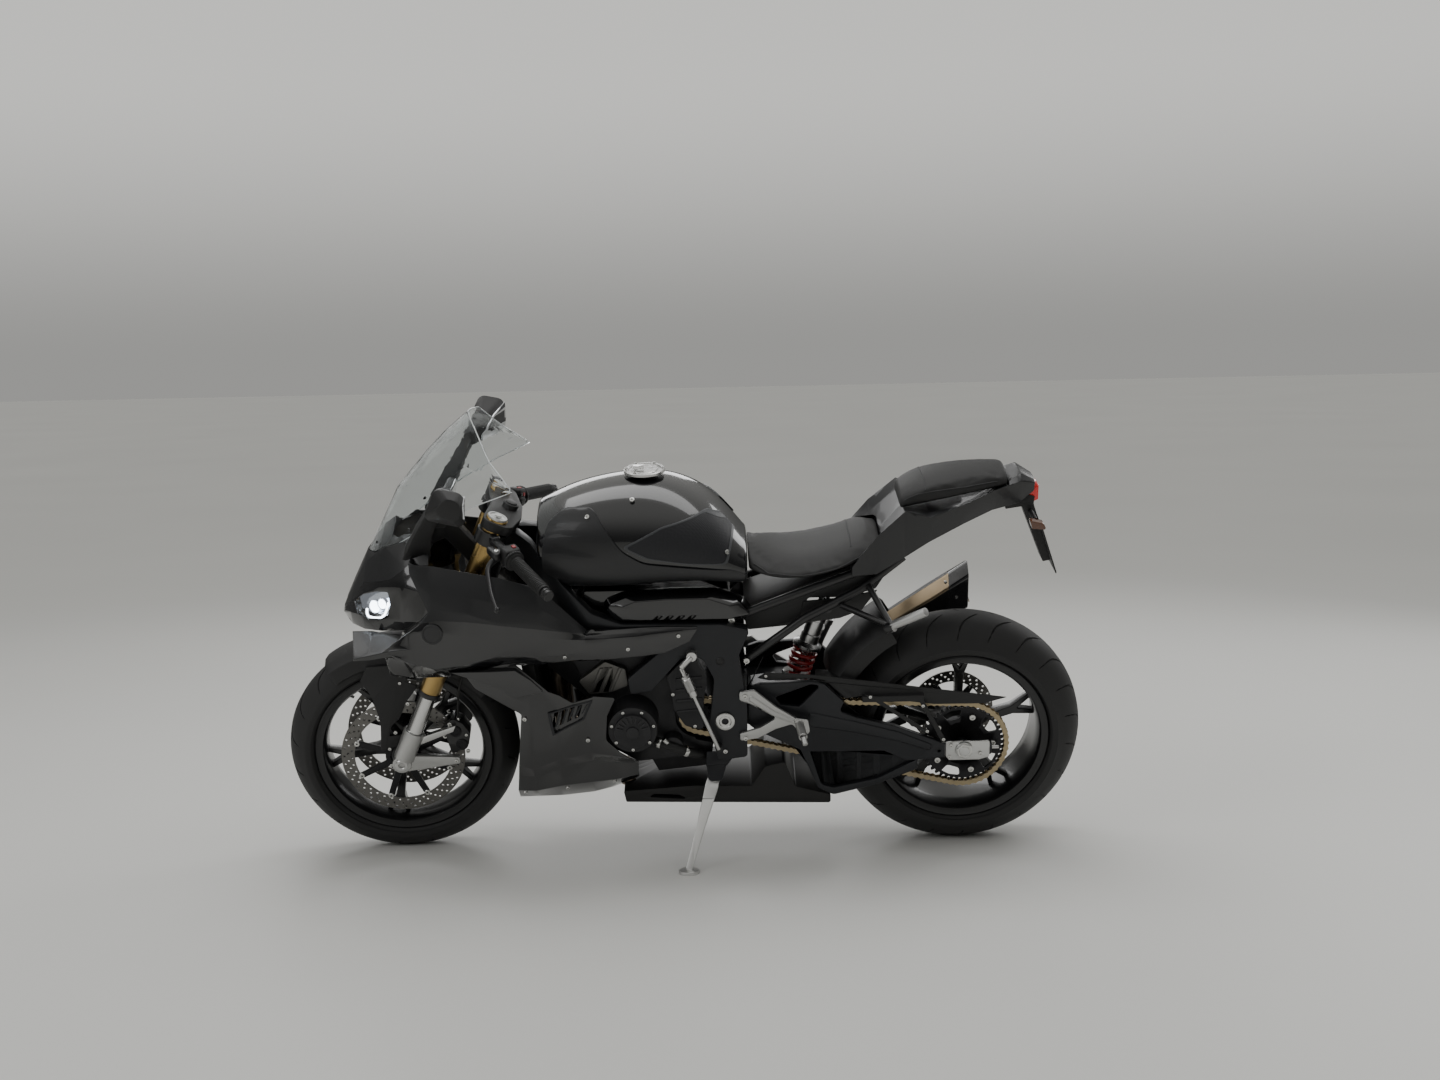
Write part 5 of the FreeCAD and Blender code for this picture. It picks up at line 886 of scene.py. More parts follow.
def make_front_brakes():
    """Calipers with piston caps and bolts, and the pipes up the fork."""
    softened("front_calipers", "black_steel", width=0.003, segments=3)
    middle = FRONT_AXLE + FRONT_DISC_RADIUS * Vector((math.cos(CALIPER_TURN), 0, math.sin(CALIPER_TURN)))
    tangent = Vector((-math.sin(CALIPER_TURN), 0, math.cos(CALIPER_TURN)))
    face = Vector((0, -98, 0))
    pistons = []
    for share in (-21, 21):
        spot = middle + tangent * share + face
        pistons.append(spun([(0, 2), (9, 2), (10, 3.2), (14, 3.2), (15.5, 2), (16, 0), (0, 0)], spot,
                            (0, -1, 0), 36))
    add_piece("caliper_piston_caps", both_sides(joined(pistons)), "carrier_black", "steering")
    bolts("caliper_bolts", "steering",
          [(*(middle + tangent * 45 + face + Vector((-4, 0, 0))), 5.5),
           (*(middle - tangent * 42 + face + Vector((6, 0, 0))), 5.5),
           (*(middle + face + Vector((20, 0, 8))), 4)], (0, -1, 0), mirrored=True)
    pipes = swept([(150, -86, 404), (152, -88, 440), (160, -88, 500), (186, -84, 570), (214, -70, 640),
                   (222, -40, 700)], 3.2)
    add_piece("brake_pipes", both_sides(pipes), "hose_rubber", "steering")
    fittings = joined([drum((149, -86, 392), (151, -86.5, 412), 5.5),
                       drum((219, -52, 682), (222, -42, 698), 5.5)])
    add_piece("brake_pipe_fittings", both_sides(fittings), "bright_bolt", "steering")


def make_bars():
    clamp = spun([(27.3, 0), (36, 0), (37.5, 1.5), (37.5, 34), (36, 35.5), (27.3, 35.5)],
                 on_fork(1, 656.5), FORK_UP, 64, closed=True)
    bar = drum(BAR_START, on_bar(252), 11)
    frame_parts = joined([clamp, bar, bar_block(on_bar(4, 0, 0), (26, 20, 26), 4)])
    add_piece("handlebars_finish", both_sides(frame_parts), "black_steel", "steering", node="handlebars")
    bolts("bar_clamp_bolts", "steering", [(*on_bar(6, 11, 6), 4), (*on_bar(6, 11, -6), 4)], BAR_REAR,
          mirrored=True)
    profile = [(11, 0), (22, 0), (23, 1.5), (22, 3.5), (17.5, 5)]
    for i in range(21):
        along = 9 + 6 * i
        profile += [(17.2, along), (17.2, along + 3.6), (16.1, along + 4.2), (16.1, along + 5.6)]
    profile += [(17, 137), (16, 141), (11, 142)]
    grips = spun(profile, on_bar(111.5), BAR_WAY, 40, closed=True)
    add_piece("grips", both_sides(grips), "grip_rubber", "steering", sharp=50)
    ends = spun([(0, 0), (13, 0), (14, 1.5), (14, 8), (12.5, 9.5), (12.5, 11), (14, 12.5), (14, 19),
                 (12, 21.5), (0, 21.5)], on_bar(254), BAR_WAY, 40)
    add_piece("bar_ends", both_sides(ends), "black_steel", "steering")
    collar = spun([(15, 0), (24, 0), (25, 1), (25, 8), (24, 9), (15, 9)], on_bar(102), BAR_WAY, 24,
                  closed=True)
    teeth = [face for face in collar.faces
             if abs((face.calc_center_median() - on_bar(106.5)).dot(BAR_WAY)) < 2 and face.calc_area() > 30]
    bmesh.ops.inset_individual(collar, faces=teeth, thickness=1.1, depth=1.3)
    add_piece("grip_collars", both_sides(collar), "moulded_black", "steering", sharp=25)
    housing = joined([bar_block(on_bar(84, 1, 1), (33, 44, 46), 7),
                      bar_block(on_bar(80, 14, -10), (24, 26, 26), 6),
                      drum(on_bar(58), on_bar(68), 16, 2)])
    add_piece("switch_housings", both_sides(housing), "moulded_black", "steering")
    red = joined([bar_block(on_bar(84, 10, 24), (12, 9, 5), 1.5),
                  bar_block(on_bar(88, 23, 8), (8, 4, 9), 1.2)])
    add_piece("red_switches", both_sides(red), "red_switch", "steering")
    grey = joined([bar_block(on_bar(76, 23.5, -6), (9, 5, 8), 1.5),
                   bar_block(on_bar(90, 24, -6), (10, 6, 6), 1.5),
                   bar_block(on_bar(76, 23.5, 9), (10, 4, 7), 1.2),
                   bar_block(on_bar(74, 27, -12), (8, 6, 6), 1.5)])
    add_piece("grey_switches", both_sides(grey), "satin_black", "steering")
    lever = swept([(306, 198, 905), (286, 206, 899), (266, 232, 886), (271, 268, 866), (278, 310, 844),
                   (290, 345, 826)], 6.0, (1.5, 1.5, 1.15, 0.9, 0.85, 0.8), sides=4)
    tip = bmesh.new()
    bmesh.ops.create_uvsphere(tip, u_segments=20, v_segments=12, radius=8,
                              matrix=Matrix.Translation((291, 347, 825)))
    add_piece("levers", both_sides(joined([lever, tip])), "black_steel", "steering")
    perch = joined([bar_block(on_bar(66, -14, 0), (24, 34, 24), 5),
                    bar_block(on_bar(60, -30, 2), (44, 20, 20), 6)])
    add_piece("lever_perches", both_sides(perch), "black_steel", "steering")
    bolts("lever_pivots", "steering", [(*on_bar(68, -28, 12), 5.5)], BAR_TOP, mirrored=True)
    foot = on_bar(42, -34, 12)
    cup = spun([(0, 0), (14, 0), (16, 2), (17, 26), (19, 27), (19, 35), (17.5, 37), (0, 37)],
               foot, (0, 0, 1), 40)
    add_piece("brake_reservoir", cup, "moulded_black", "steering")
    bolts("reservoir_cap_screws", "steering",
          [(*(foot + Vector((along, 0, 37))), 2.5) for along in (11, -11)], (0, 0, 1))
    feed = swept([foot, on_bar(40, -36, 0), on_bar(48, -34, -8), on_bar(56, -30, 2)], 4.0)
    add_piece("reservoir_pipe", feed, "hose_rubber", "steering")


# Tank and seats

# columns: x, then right-half points (y, z): top middle, shoulder, side, waist, bottom edge
TANK_STATIONS = [
    (388, [(0, 968), (60, 956), (105, 920), (128, 850), (110, 770)]),
    (470, [(0, 1008), (80, 992), (138, 960), (165, 860), (140, 770)]),
    (580, [(0, 1036), (95, 1015), (160, 960), (188, 870), (165, 775)]),
    (693, [(0, 1045), (100, 1022), (165, 965), (192, 880), (170, 785)]),
    (790, [(0, 1012), (92, 992), (150, 950), (182, 870), (168, 790)]),
    (860, [(0, 946), (78, 930), (125, 900), (160, 850), (160, 780)]),
    (912, [(0, 880), (60, 868), (95, 856), (125, 830), (135, 775)]),
]
TANK_SKIN = 3.0          # each layer's surface outside the stations
LAYER_FOOT = 3.6
PAD_SKIN = 8.0
BORDER_SKIN = 8.6
COVER_SKIN = 9.0
BORDER_SHARE = 0.945
COVER_OUTLINE = [(404, 880), (420, 946), (462, 980), (534, 988), (560, 950), (604, 893), (656, 862),
                 (777, 845),
                 (872, 830), (914, 806), (914, 732), (828, 765), (722, 777), (561, 759), (508, 764),
                 (404, 830)]
PAD_OUTLINE = [(606, 903), (700, 948), (811, 970), (884, 925), (862, 846), (760, 858), (662, 876)]
RIDER_SEAT = [
    (913, [(0, 866), (60, 860), (105, 838), (120, 805)]),
    (960, [(0, 838), (90, 834), (140, 815), (150, 792)]),
    (1040, [(0, 832), (105, 829), (160, 808), (164, 796)]),
    (1130, [(0, 850), (105, 846), (156, 826), (160, 812)]),
    (1200, [(0, 884), (92, 878), (134, 856), (140, 838)]),
    (1245, [(0, 888), (80, 880), (112, 866), (118, 852)]),
]
PILLION_SEAT = [
    (1290, [(0, 985), (58, 980), (84, 970), (92, 950)]),
    (1330, [(0, 1016), (72, 1010), (98, 996), (104, 960)]),
    (1450, [(0, 1036), (74, 1030), (100, 1012), (106, 985)]),
    (1560, [(0, 1040), (50, 1034), (70, 1018), (76, 1002)]),
]


def whole_ring(x, half, out=0.0):
    """A closed section across the bike from its right half, grown by a step."""
    points = [(y + (out if y > 0 else 0), z + (out * 0.7 if y < 100 else 0)) for y, z in half]
    right = [Vector((x, y, z)) for y, z in points]
    left = [Vector((x, -y, z)) for y, z in reversed(points) if y > 0]
    return right + [Vector((x, 0, points[-1][1]))] + left


def grown_tank(out):
    stations = [TANK_STATIONS[0]] + TANK_STATIONS + [TANK_STATIONS[-1]]
    rings = []
    for i, (x, half) in enumerate(stations):
        shift = 5 if i == 1 else (-5 if i == len(stations) - 2 else 0)
        rings.append(whole_ring(x + shift, half, out))
    return subdivided(lofted(rings), 3)


def pulled(outline, share):
    """An outline drawn in towards its middle."""
    x = sum(point[0] for point in outline) / len(outline)
    z = sum(point[1] for point in outline) / len(outline)
    return [(x + (px - x) * share, z + (pz - z) * share) for px, pz in outline]


def make_tank():
    room = slab([(300, 700), (300, 880), (420, 860), (470, 775), (560, 770), (560, 700)], -240, 240)
    tank = add_piece("fuel_tank_finish", carved(grown_tank(TANK_SKIN), room), "gloss_black", "chassis",
                     sharp=50, node="fuel_tank")
    layer = carved(grown_tank(COVER_SKIN), slab(COVER_OUTLINE, 60, 260, corner=14), "INTERSECT")
    covers = carved(layer, grown_tank(LAYER_FOOT))
    add_piece("tank_side_covers_finish", both_sides(covers), "satin_black", "chassis", sharp=40,
              node="tank_side_covers")
    layer = carved(grown_tank(PAD_SKIN), slab(pulled(PAD_OUTLINE, 0.94), 60, 260, corner=9), "INTERSECT")
    pads = carved(carved(layer, slab(COVER_OUTLINE, 50, 280, corner=14)), grown_tank(LAYER_FOOT))
    add_piece("knee_pads_finish", both_sides(pads), "pad_rubber", "chassis", sharp=40, node="knee_pads")
    border = carved(slab(PAD_OUTLINE, 60, 260, corner=9),
                    slab(pulled(PAD_OUTLINE, BORDER_SHARE), 50, 270, corner=9))
    layer = carved(carved(grown_tank(BORDER_SKIN), border, "INTERSECT"),
                   slab(COVER_OUTLINE, 50, 280, corner=14))
    add_piece("knee_pad_borders", both_sides(carved(layer, grown_tank(LAYER_FOOT))), "pale_seam", "chassis",
              sharp=40)
    cap = spun([(0, 5), (22, 5), (24, 6.5), (33, 6.5), (35, 5), (40, 5), (42, 7.5), (50, 7.5), (52, 6),
                (52, 0), (0, 0)], (659, 0, 1039.5), (-0.02, 0, 1), 72)
    add_piece("filler_cap_finish", cap, "machined_alloy", "chassis", node="filler_cap")
    flap = slab([(622, -16), (650, -16), (650, 16), (622, 16)], 0, 3.5, edge=1.0, corner=5)
    bmesh.ops.rotate(flap, cent=(0, 0, 0), matrix=Matrix.Rotation(math.pi / 2, 3, "X"), verts=flap.verts)
    bmesh.ops.translate(flap, vec=(8, 0, 1049), verts=flap.verts)
    add_piece("filler_lock", flap, "fork_chrome", "chassis")
    turns = [math.radians(60 * i) for i in range(6)]
    bolts("filler_cap_bolts", "chassis",
          [(659 + 46 * math.cos(turn), 46 * math.sin(turn), 1047, 3.6) for turn in turns], (-0.02, 0, 1))
    for name, x, z in (("tank_cover_bolts", 523, 966), ("tank_top_bolts", 632, 1000),
                       ("knee_pad_bolts", 857, 872)):
        spots, way = on_skin(tank, x, z)
        bolts(name, "chassis", [(*(spots + way * 4), 6)], way, mirrored=True)


def on_skin(piece, x, z):
    """Where a line across the bike from its left first meets a piece, with the way out of it there."""
    bm = upright_shape(piece)
    bmesh.ops.recalc_face_normals(bm, faces=bm.faces)
    tree = BVHTree.FromBMesh(bm)
    bm.free()
    spot, normal = tree.ray_cast(Vector((x, FAR_LEFT, z)), Vector((0, 1, 0)))[:2]
    if spot is None:
        return None, None
    return spot, normal if normal.y < 0 else -normal


PAD_VOXEL = 0.005        # metres
PAD_PRESSURE = 4.0
PAD_FRAMES = 20
PAD_SMOOTHINGS = 2
PAD_RISE = 0.005         # how far the cover may swell


def stuffed(bm):
    """The closed form swollen as cloth under pressure, by no more than PAD_RISE and fading out on the
    faces that look down."""
    bmesh.ops.transform(bm, matrix=MILLI, verts=bm.verts)
    form = held(bm)
    mesh = form.data
    remesh = form.modifiers.new("voxels", "REMESH")
    remesh.mode = "VOXEL"
    remesh.voxel_size = PAD_VOXEL
    made = modified(form)
    form.modifiers.clear()
    made.to_mesh(mesh)
    made.free()
    rest = [vert.co.copy() for vert in mesh.vertices]
    normals = [vert.normal.copy() for vert in mesh.vertices]
    cloth = form.modifiers.new("cloth", "CLOTH")
    cloth.settings.use_pressure = True
    cloth.settings.uniform_pressure_force = PAD_PRESSURE
    cloth.settings.effector_weights.gravity = 0.0
    cloth.point_cache.frame_start = 1
    cloth.point_cache.frame_end = PAD_FRAMES
    for moment in range(1, PAD_FRAMES + 1):
        bpy.context.scene.frame_set(moment)
    swollen = form.evaluated_get(bpy.context.evaluated_depsgraph_get()).data
    moved = [vert.co.copy() for vert in swollen.vertices]
    form.modifiers.clear()
    bpy.context.scene.frame_set(1)
    for vert, before, after, normal in zip(mesh.vertices, rest, moved, normals):
        step = after - before
        if step.length > PAD_RISE:
            step *= PAD_RISE / step.length
        vert.co = before + step * max(0.0, min(1.0, normal.z * 2 + 0.4))
    made = bmesh.new()
    made.from_mesh(mesh)
    discard(form)
    for turn in range(PAD_SMOOTHINGS):
        bmesh.ops.smooth_vert(made, verts=made.verts, factor=0.5, use_axis_x=True, use_axis_y=True,
                              use_axis_z=True)
    bmesh.ops.transform(made, matrix=MILLI.inverted(), verts=made.verts)
    return made


def seam_on(form, stations, row, lift):
    """A sewn welt along a row of a seat's section points, laid on its cover."""
    tree = BVHTree.FromBMesh(form)
    points = []
    for (x_from, half_from), (x_to, half_to) in zip(stations, stations[1:]):
        for step in range(4):
            share = step / 4
            y = half_from[row][0] + (half_to[row][0] - half_from[row][0]) * share
            z = half_from[row][1] + (half_to[row][1] - half_from[row][1]) * share
            x = x_from + (x_to - x_from) * share
            spot, normal = tree.find_nearest(Vector((x, y, z + lift)))[:2]
            points.append(spot + normal * 0.3)
    return swept(points[1:], 1.5, sides=2)


def cross_seam(form, x, reach, height):
    tree = BVHTree.FromBMesh(form)
    points = []
    for step in range(-8, 9):
        start = Vector((x, reach * step / 8, height))
        spot, normal = tree.ray_cast(start, Vector((0, 0, -1)))[:2]
        if spot is not None:
            points.append(spot + normal * 0.3)
    return swept(points, 1.4, sides=2)


def make_seats():
    for node, stations, cross in (("rider_seat", RIDER_SEAT, 1168), ("pillion_seat", PILLION_SEAT, 1352)):
        rings = [whole_ring(x, half) for x, half in stations]
        first, last = stations[0], stations[-1]
        rings = [whole_ring(first[0] + 1, first[1])] + rings + [whole_ring(last[0] - 1, last[1])]
        form = stuffed(subdivided(lofted(rings), 2))
        seams = [both_sides(seam_on(form, stations, 2, 3)), cross_seam(form, cross, 100, 1200)]
        seat = add_piece(node + "_cushion", form, "seat_cover", "chassis", sharp=60)
        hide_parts(node)
        add_piece(node + "_seams", joined(seams), "seam_thread", "chassis")


# Fairings, lamps and mirrors

NOSE_LINE = [(-118, 724), (-92, 732), (-52, 790), (28, 819), (77, 859), (150, 868)]
WING_END = 60
LEVEL = 0.8
SIDE_LINE = [(20, 715), (97, 735), (150, 744), (219, 741), (279, 734), (400, 714), (505, 686), (540, 720)]
VENT_OUTLINE = [(404, 480), (414, 418), (445, 436), (496, 462), (520, 516), (467, 502)]
LAMP_LINE = [(-64, 745), (-61, 724), (-36, 716), (2, 718), (19, 736), (23, 760)]


def under(line):
    """Material 1 below a line in side view, material 0 above it."""
    return lambda spot, normal: int(spot.z < height_on(line, spot.x))


def side_finish(spot, normal):
    """The side fairing is glossy below its crease, apart from the wing's level upper faces."""
    wing = spot.x < WING_END and normal.z > LEVEL
    return int(spot.z < height_on(SIDE_LINE, spot.x) and not wing)


def skin_bolts(name, piece, points, radius):
    heads = []
    for x, z in points:
        spot, way = on_skin(piece, x, z)
        if spot is not None:
            heads.append(bolt(spot, way, radius))
    add_piece(name, both_sides(joined(heads)), "bright_bolt", body_of(piece))


def make_fairings():
    nose = softened("nose_fairing", ("satin_black", "gloss_black"), line=NOSE_LINE, choose=under(NOSE_LINE))
    finish = ("satin_black", "gloss_black")
    left = softened("side_fairing_left", finish, line=SIDE_LINE, choose=side_finish)
    softened("side_fairing_right", finish, line=SIDE_LINE, choose=side_finish)
    pan = softened("belly_pan_left", "gloss_black")
    softened("belly_pan_right", "gloss_black")
    skin_bolts("belly_pan_bolts", pan, [(346, 464), (501, 400), (440, 250), (560, 262), (330, 236)], 5.5)
    skin_bolts("side_fairing_bolts", left, [(455, 632), (610, 640), (736, 668)], 5)
    skin_bolts("nose_bolts", nose, [(104, 842)], 4)
    spot, way = on_skin(left, 139, 713)
    badge_seat = spun([(0, 1.6), (18, 1.2), (21, 0.9), (22, 2.2), (25, 2.4), (26, 1.4), (26, -2), (0, -2)],
                      spot, way, 56)
    add_piece("round_badge_seats", both_sides(badge_seat), "satin_black", "chassis")
    grille = carved(slab(VENT_OUTLINE, -221, -206, corner=4),
                    slab(pulled(VENT_OUTLINE, 0.86), -224, -200, corner=3))
    soften_edges(grille, 0.8)
    slats = [slab([(420 + 17 * i, 440 + 9 * i), (425 + 17 * i, 443 + 9 * i), (440 + 17 * i, 486 + 5 * i),
                   (434 + 17 * i, 484 + 5 * i)], -219, -206, edge=0.8) for i in range(5)]
    add_piece("duct_vents", both_sides(joined([grille] + slats)), "frame_alloy", "chassis")
    softened("airbox", "gloss_black", width=0.002, segments=3)
    softened("battery_box", "moulded_black")


def make_screen():
    screen = softened("windscreen", "clear_screen", width=0.0005, segments=1)
    # pale tubes along the screen's rim: a painted highlight where its cut edge catches light
    side = swept([(34, 100, 890), (140, 154, 962), (262, 187, 1022), (352, 206, 1060), (292, 150, 1122),
                  (246, 66, 1197)], 1.3, sides=1, order=2)
    top = swept([(246, 66, 1197), (235, 33, 1204), (229, 0, 1206), (235, -33, 1204), (246, -66, 1197)], 1.3,
                sides=1)
    add_piece("windscreen_edge", joined([both_sides(side), top]), "screen_edge", "chassis")
    bm = upright_shape(screen)
    tree = BVHTree.FromBMesh(bm)
    bm.free()
    heads = []
    for spot in ((40, -88, 900), (88, -112, 940), (0, -52, 880)):
        near, normal = tree.find_nearest(Vector(spot))[:2]
        outward = normal if normal.dot(Vector((-1, -1, 0.5))) > 0 else -normal
        heads.append(bolt(near, outward, 4.2))
    add_piece("windscreen_bolts", both_sides(joined(heads)), "black_steel", "chassis")
    softened("dash", ("moulded_black", "display_glass"), width=0.003, segments=3,
             choose=lambda spot, normal: int(normal.x > 0.6 and spot.z > 925 and abs(spot.y) < 80))


def make_headlights():
    """Each lamp: a clear lens on the nose's own surface, a chrome bowl with a faint painted glow of lamp
    light, two lit reflectors and a strip.
    """
    bm = upright_shape(NODES["headlights"])
    bmesh.ops.remove_doubles(bm, verts=bm.verts, dist=WELD)
    bm.normal_update()
    hidden = [face for face in bm.faces
              if face.normal.y * face.calc_center_median().y <= 0.12 * abs(face.calc_center_median().y)]
    bmesh.ops.delete(bm, geom=hidden, context="FACES")
    bowl = bm.copy()
    bowl.normal_update()
    tree = BVHTree.FromBMesh(bm)
    bmesh.ops.solidify(bm, geom=bm.faces[:], thickness=2.0)
    add_piece("headlight_lenses", bm, "clear_lens", "chassis", node="headlights")
    for vert in bowl.verts:
        vert.co += Vector((9, -26 if vert.co.y > 0 else 26, 3))
    # the bowls' chrome carries a faint painted glow of lamp light
    add_piece("headlight_bowls", bowl, "lamp_chrome", "chassis")

    def behind(x, z, depth):
        return tree.find_nearest(Vector((x, -150, z)))[0] + Vector((2, depth, 0))

    strip = swept([behind(x, z, 4) for x, z in LAMP_LINE], 2.6, sides=3)
    add_piece("daylight_strips", both_sides(strip), "daylight_lamp", "chassis")
    eyes = []
    rings = []
    for x, z, radius in ((-34, 745, 15), (-4, 752, 12)):
        spot = behind(x, z, 12)
        way = Vector((-0.45, -0.88, 0.08))
        eyes.append(spun([(0, 4), (radius * 0.5, 3.2), (radius * 0.85, 1), (radius, 0), (0, 0)], spot, way,
                         36))
        rings.append(spun([(radius, 1), (radius + 1.5, 2), (radius + 3, 1), (radius + 3, -8), (radius, -8)],
                          spot, way,
                          36, closed=True))
    add_piece("headlight_reflectors", both_sides(joined(eyes)), "daylight_lamp", "chassis")
    # the rings' chrome carries the same painted glow of lamp light as the bowls
    add_piece("headlight_rings", both_sides(joined(rings)), "lamp_chrome", "chassis")


def make_mirrors():
    softened("mirrors", "moulded_black", width=0.002, segments=3)

    def rear(y):
        return height_on([(262, 200), (330, 240), (400, 268), (428, 262)], y)

    outline = [(286, 1042), (330, 1045), (392, 1050), (414, 1068), (417, 1100), (398, 1116), (340, 1098),
               (290, 1062)]
    glass = extruded([(rear(y) - 2, y, z) for y, z in outline], (4.5, 0, 0))
    soften_edges(glass, 1.2)
    add_piece("mirror_glasses", both_sides(glass), "mirror_glass", "chassis")


# Engine, frame, exhaust and running gear

def make_engine():
    softened("engine", ("engine_casting", "grey_casting"), width=0.0018,
             choose=lambda spot, normal: int(478 < spot.x < 606 and 490 < spot.z < 584 and abs(spot.y) > 119))
    bolts("left_cover_bolts", "chassis", ring_of((614, 420), 54, 7, -200, 4.2, 12), (0, -1, 0))
    ribs = []
    for i in range(9):
        rib = slab([(640, 418.4), (656, 418.6), (656, 421.4), (640, 421.6)], -215, -211.5, edge=0.6)
        ribs += [copies(rib, round_about(Vector((614, 0, 420)), [-20 - 18 * i]))]
    add_piece("left_cover_ribs", joined(ribs), "engine_casting", "chassis")
    bolts("right_cover_bolts", "chassis", ring_of((690, 400), 79, 9, 190, 4.2, 20), (0, 1, 0))
    bolts("right_small_cover_bolts", "chassis", ring_of((590, 420), 42, 5, 168, 4, 8), (0, 1, 0))
    bolts("sprocket_cover_bolts", "chassis",
          [(752, -146, 575, 4.5), (716, -146, 492, 4.5), (770, -146, 402, 4.5)], (0, -1, 0))
    pipe = swept([(640, -128, 372), (668, -150, 362), (700, -162, 356), (738, -160, 340), (772, -146, 322),
                  (792, -128, 312)], 12.5, sides=4)
    add_piece("coolant_pipe", pipe, "hose_rubber", "chassis")
    bands = [spun([(12.6, -5), (14, -5), (14.6, -4), (14.6, 4), (14, 5), (12.6, 5)], middle, way, 40,
                  closed=True)
             for middle, way in (((680, -156.5, 361), (30, -13, -7)), ((746, -157, 336), (34, 8, -17)))]
    bands.append(drum((690, -168, 376), (700, -168, 366), 6))
    add_piece("pipe_clamps", joined(bands), "bright_bolt", "chassis")
    softened("radiator", "radiator_black")
    fins = []
    for low_y, high_y in ((-149, -7), (7, 149)):
        for i in range(32):
            share = (i + 0.5) / 32
            x = 345 + 39 * share
            z = 631 - 210 * share
            fin = bmesh.new()
            bmesh.ops.create_cube(fin, size=1)
            bmesh.ops.scale(fin, vec=(7, high_y - low_y, 1.2), verts=fin.verts)
            bmesh.ops.translate(fin, vec=(x - 6, (low_y + high_y) / 2, z), verts=fin.verts)
            fins.append(fin)
    add_piece("radiator_fins", joined(fins), "carrier_black", "chassis")


def make_frame():
    softened("frame", "frame_alloy", width=0.0022, segments=3)
    softened("subframe", "black_steel")
    hollow = spun([(9, 0), (22, 0), (24, 2), (24, 5), (21, 6.5), (16, 6.5), (14, 4), (9, 4)],
                  (847, -168, 425), (0, -1, 0), 48, closed=True)
    add_piece("pivot_bolts", both_sides(hollow), "bright_bolt", "chassis")
    plug = spun([(0, 4), (6, 3.4), (10, 1.5), (11, 0), (0, 0)], (838, -168, 590), (0, -1, 0), 32)
    add_piece("frame_plugs", both_sides(plug), "moulded_black", "chassis")
    bolts("frame_bolts", "chassis", [(868, -140, 690, 9), (904, -140, 579, 8), (560, -168, 672, 5),
                                     (846, -168, 340, 6)], (0, -1, 0), mirrored=True)


CAP_LINE = [(1440, 560), (1456, 760)]
CAP_SLOPE = 0.08


def make_exhaust():
    def region(spot, normal):
        return int(574 < spot.x < 1122 and spot.z < 282 and abs(spot.y) < 116)

    softened("exhaust_headers", ("exhaust_steel", "box_black"), choose=region)
    def finish(spot, normal):
        if spot.x > CAP_LINE[0][0] + (spot.z - CAP_LINE[0][1]) * CAP_SLOPE:
            return 2
        return int(normal.y < -0.25 and normal.z > 0.3 or normal.z > 0.92)

    softened("silencer", ("box_black", "bronze_shield", "gloss_black"), width=0.0022, segments=3,
             line=CAP_LINE, choose=finish)
    bolts("silencer_bolts", "chassis", [(1438, 139, 668, 4.5), (1468, 139, 624, 4.5)], (0, -1, 0))
    mouth = spun([(21.8, 0), (24.5, 0), (25.5, 2), (25, 4), (21.8, 4), (20, 0), (19, -50), (21.5, -50)],
                 (1500, 196, 611), (60, 0, 20), 48, closed=True)
    add_piece("silencer_mouth", mouth, "exhaust_steel", "chassis")


def coil(start, end, radius, wire, turns):
    """A spring between two points."""
    start = Vector(start)
    run = Vector(end) - start
    out = run.orthogonal().normalized()
    across = run.normalized().cross(out)
    points = []
    steps = turns * 12
    for i in range(steps + 1):
        angle = math.tau * i / 12
        points.append(start + run * (i / steps) + (out * math.cos(angle) + across * math.sin(angle)) * radius)
    return swept(points, wire, sides=2)


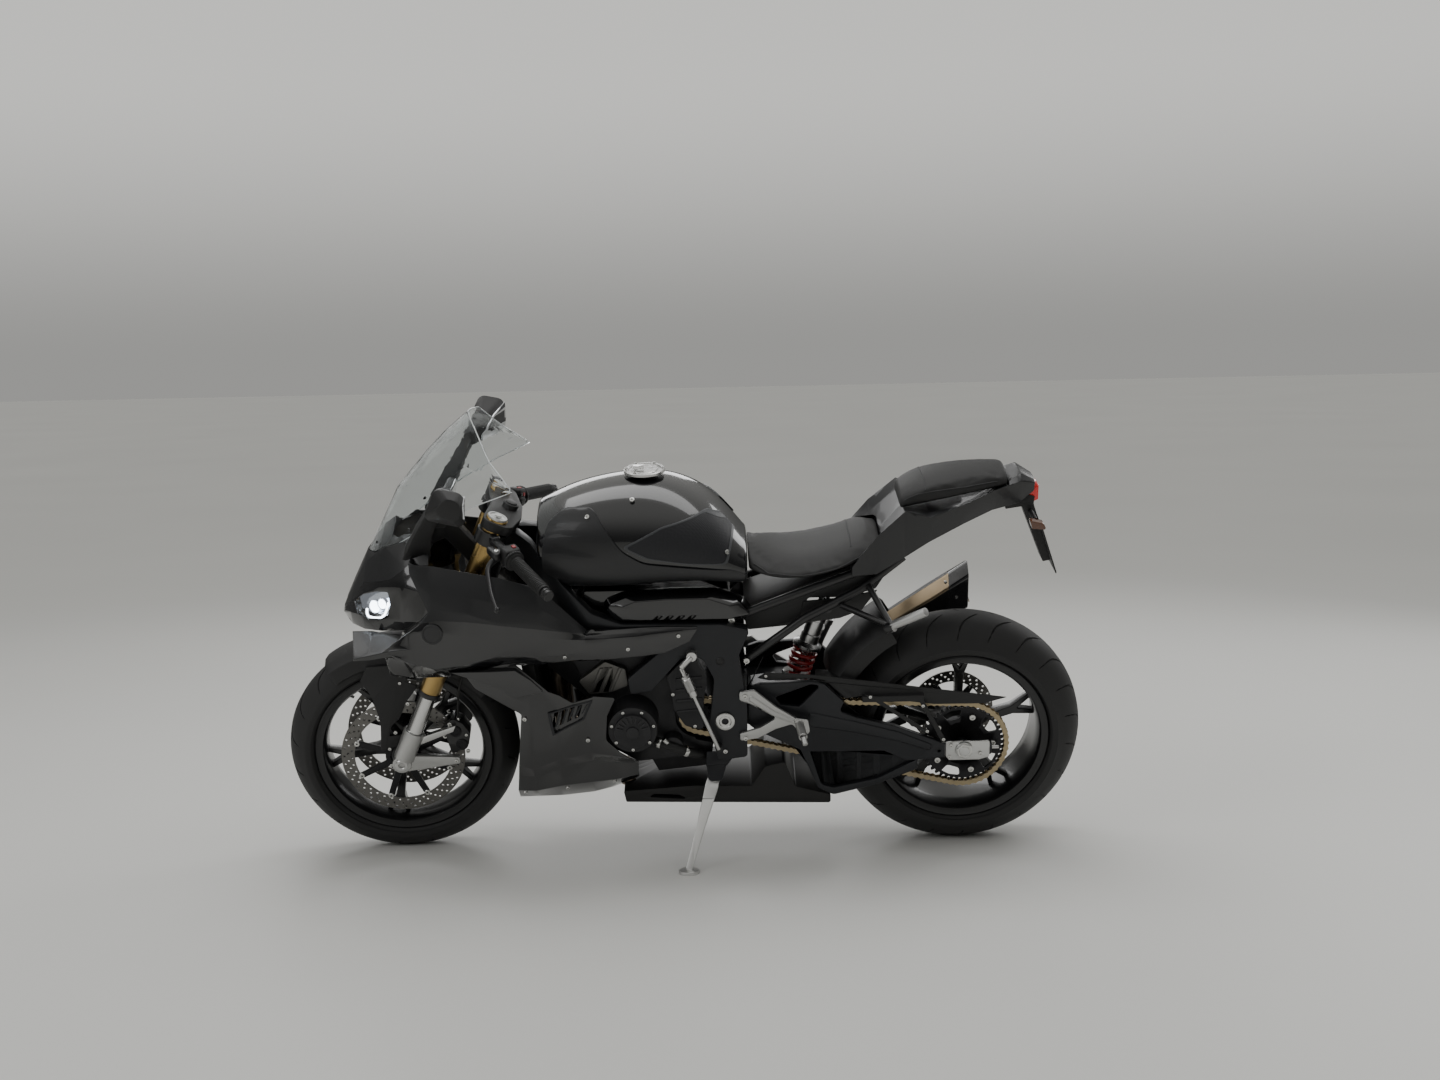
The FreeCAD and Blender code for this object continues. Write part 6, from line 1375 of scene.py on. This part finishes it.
def make_rear():
    def arm_finish(spot, normal):
        near = abs(spot.x - 1457) < 72 and abs(spot.z - 320) < 40
        return int((near and abs(spot.y) > 140.4) or spot.x > 1531)

    softened("swingarm", ("frame_alloy", "machined_alloy"), width=0.0022, segments=3, choose=arm_finish)
    nut = spun([(14.2, 0), (20, 0), (21.5, 1.5), (21.5, 4), (20, 5), (14.2, 5)], (1457, -156, 320.5),
               (0, -1, 0), 6,
               closed=True)
    add_piece("rear_axle_nuts", both_sides(nut), "bright_bolt", "chassis")
    bolts("axle_block_bolts", "chassis", [(1424, -147, 332, 5), (1500, -147, 308, 5), (1420, -147, 300, 4)],
          (0, -1, 0), mirrored=True)
    softened("rear_hugger", "moulded_black")
    bolts("chain_guard_bolts", "chassis", [(1216, -147, 474, 4.5), (1350, -147, 446, 4.5),
                                           (1404, -147, 350, 4.5),
                                           (1362, -147, 374, 4.5), (952, -130, 530, 4)], (0, -1, 0))
    softened("rear_caliper", "black_steel", width=0.003, segments=3)
    refinish("chain", "chain_gold")
    make_sprocket()
    top, low = Vector((1096, 20, 640)), Vector((1056, 20, 524))
    axis = low - top
    body = spun([(0, 0), (22, 0), (25, 3), (25, 20), (23, 22), (23, 60), (25, 62), (25, 84), (27, 86),
                 (36, 90), (38, 92), (38, 100), (36, 102), (20, 104), (20, 118), (0, 118)], top, axis, 48)
    rod_in = drum((1058, 20, 530), (1034, 20, 462), 8)
    foot = drum((1040, 20, 480), (1022, 20, 432), 12)
    cup = spun([(0, 0), (36, 0), (38, 2), (38, 8), (36, 10), (0, 10)], (1037, 20, 468), axis, 40)
    eye = drum((1090, 20, 620), (1111, 20, 690), 12)
    link = drum((1100, 20, 596), (1104, 66, 590), 11)
    tank = spun([(0, 0), (18, 0), (22, 3), (22, 18), (20.5, 20), (20.5, 74), (22, 76), (22, 92), (19, 98),
                 (0, 98)],
                (1120, 66, 610), (-40, 0, -90), 40)
    add_piece("shock_absorber_finish", joined([body, rod_in, foot, cup, eye, link, tank]), "shock_steel",
                      "chassis", node="shock_absorber")
    add_piece("shock_spring", coil((1062, 20, 540), (1038, 20, 472), 31, 5.2, 4), "red_spring", "chassis")


def make_controls():
    softened("rider_footrests", "cast_alloy", width=0.002, segments=3)
    bolts("footrest_bolts", "chassis", [(898, -178, 498, 6), (898, -178, 380, 6), (1036, -183, 404, 5)],
          (0, -1, 0),
          mirrored=True)
    softened("passenger_footrests", ("black_steel", "cast_alloy"), width=0.0016,
             choose=lambda spot, normal: int(abs(spot.y) > 207 and spot.x > 1258))
    softened("gear_linkage", ("machined_alloy", "black_steel"), width=0.0014,
             choose=lambda spot, normal: int(spot.z < 372))
    nuts = [spun([(0, 0), (7.5, 0), (7.5, 7), (0, 7)], spot, way, 6)
            for spot, way in (((748, -186, 562), (22, -1, -57)), ((768, -187, 512), (22, -1, -57)))]
    knurl = spun([(11.2, 8), (13, 10)] + [(13 - (i % 2), 10 + 2 * i) for i in range(1, 18)] + [(11.2, 46)],
                 (748, -186, 562), (22, -1, -57), 24, closed=True)
    add_piece("gear_adjuster", joined(nuts + [knurl]), "machined_alloy", "chassis")
    softened("brake_pedal", "machined_alloy")
    softened("side_stand", "stand_steel", width=0.0018, segments=3)


def make_tail():
    softened("tail_fairing", "satin_black", width=0.0016, segments=3)
    softened("tail_light", "red_lens", width=0.002, segments=3)
    softened("plate_holder", ("moulded_black", "amber_lens"), width=0.0014,
             choose=lambda spot, normal: int(abs(spot.y) > 95.5 and 903 < spot.z < 932))
    plate = slab([(1643.4, 904), (1644.6, 904), (1689.3, 771), (1688.1, 771)], -74, 74, edge=0.4)
    add_piece("number_plate", plate, "blank_plate", "chassis")
    bolts("number_plate_bolts", "chassis", [(1652, -50, 883, 4), (1652, 50, 883, 4)], (0.95, 0, 0.3))


make_camera()
make_wheels()
make_fork()
make_front_brakes()
make_bars()
make_tank()
make_seats()
make_fairings()
make_screen()
make_headlights()
make_mirrors()
make_engine()
make_frame()
make_exhaust()
make_rear()
make_controls()
make_tail()
BOLT.free()
make_studio()
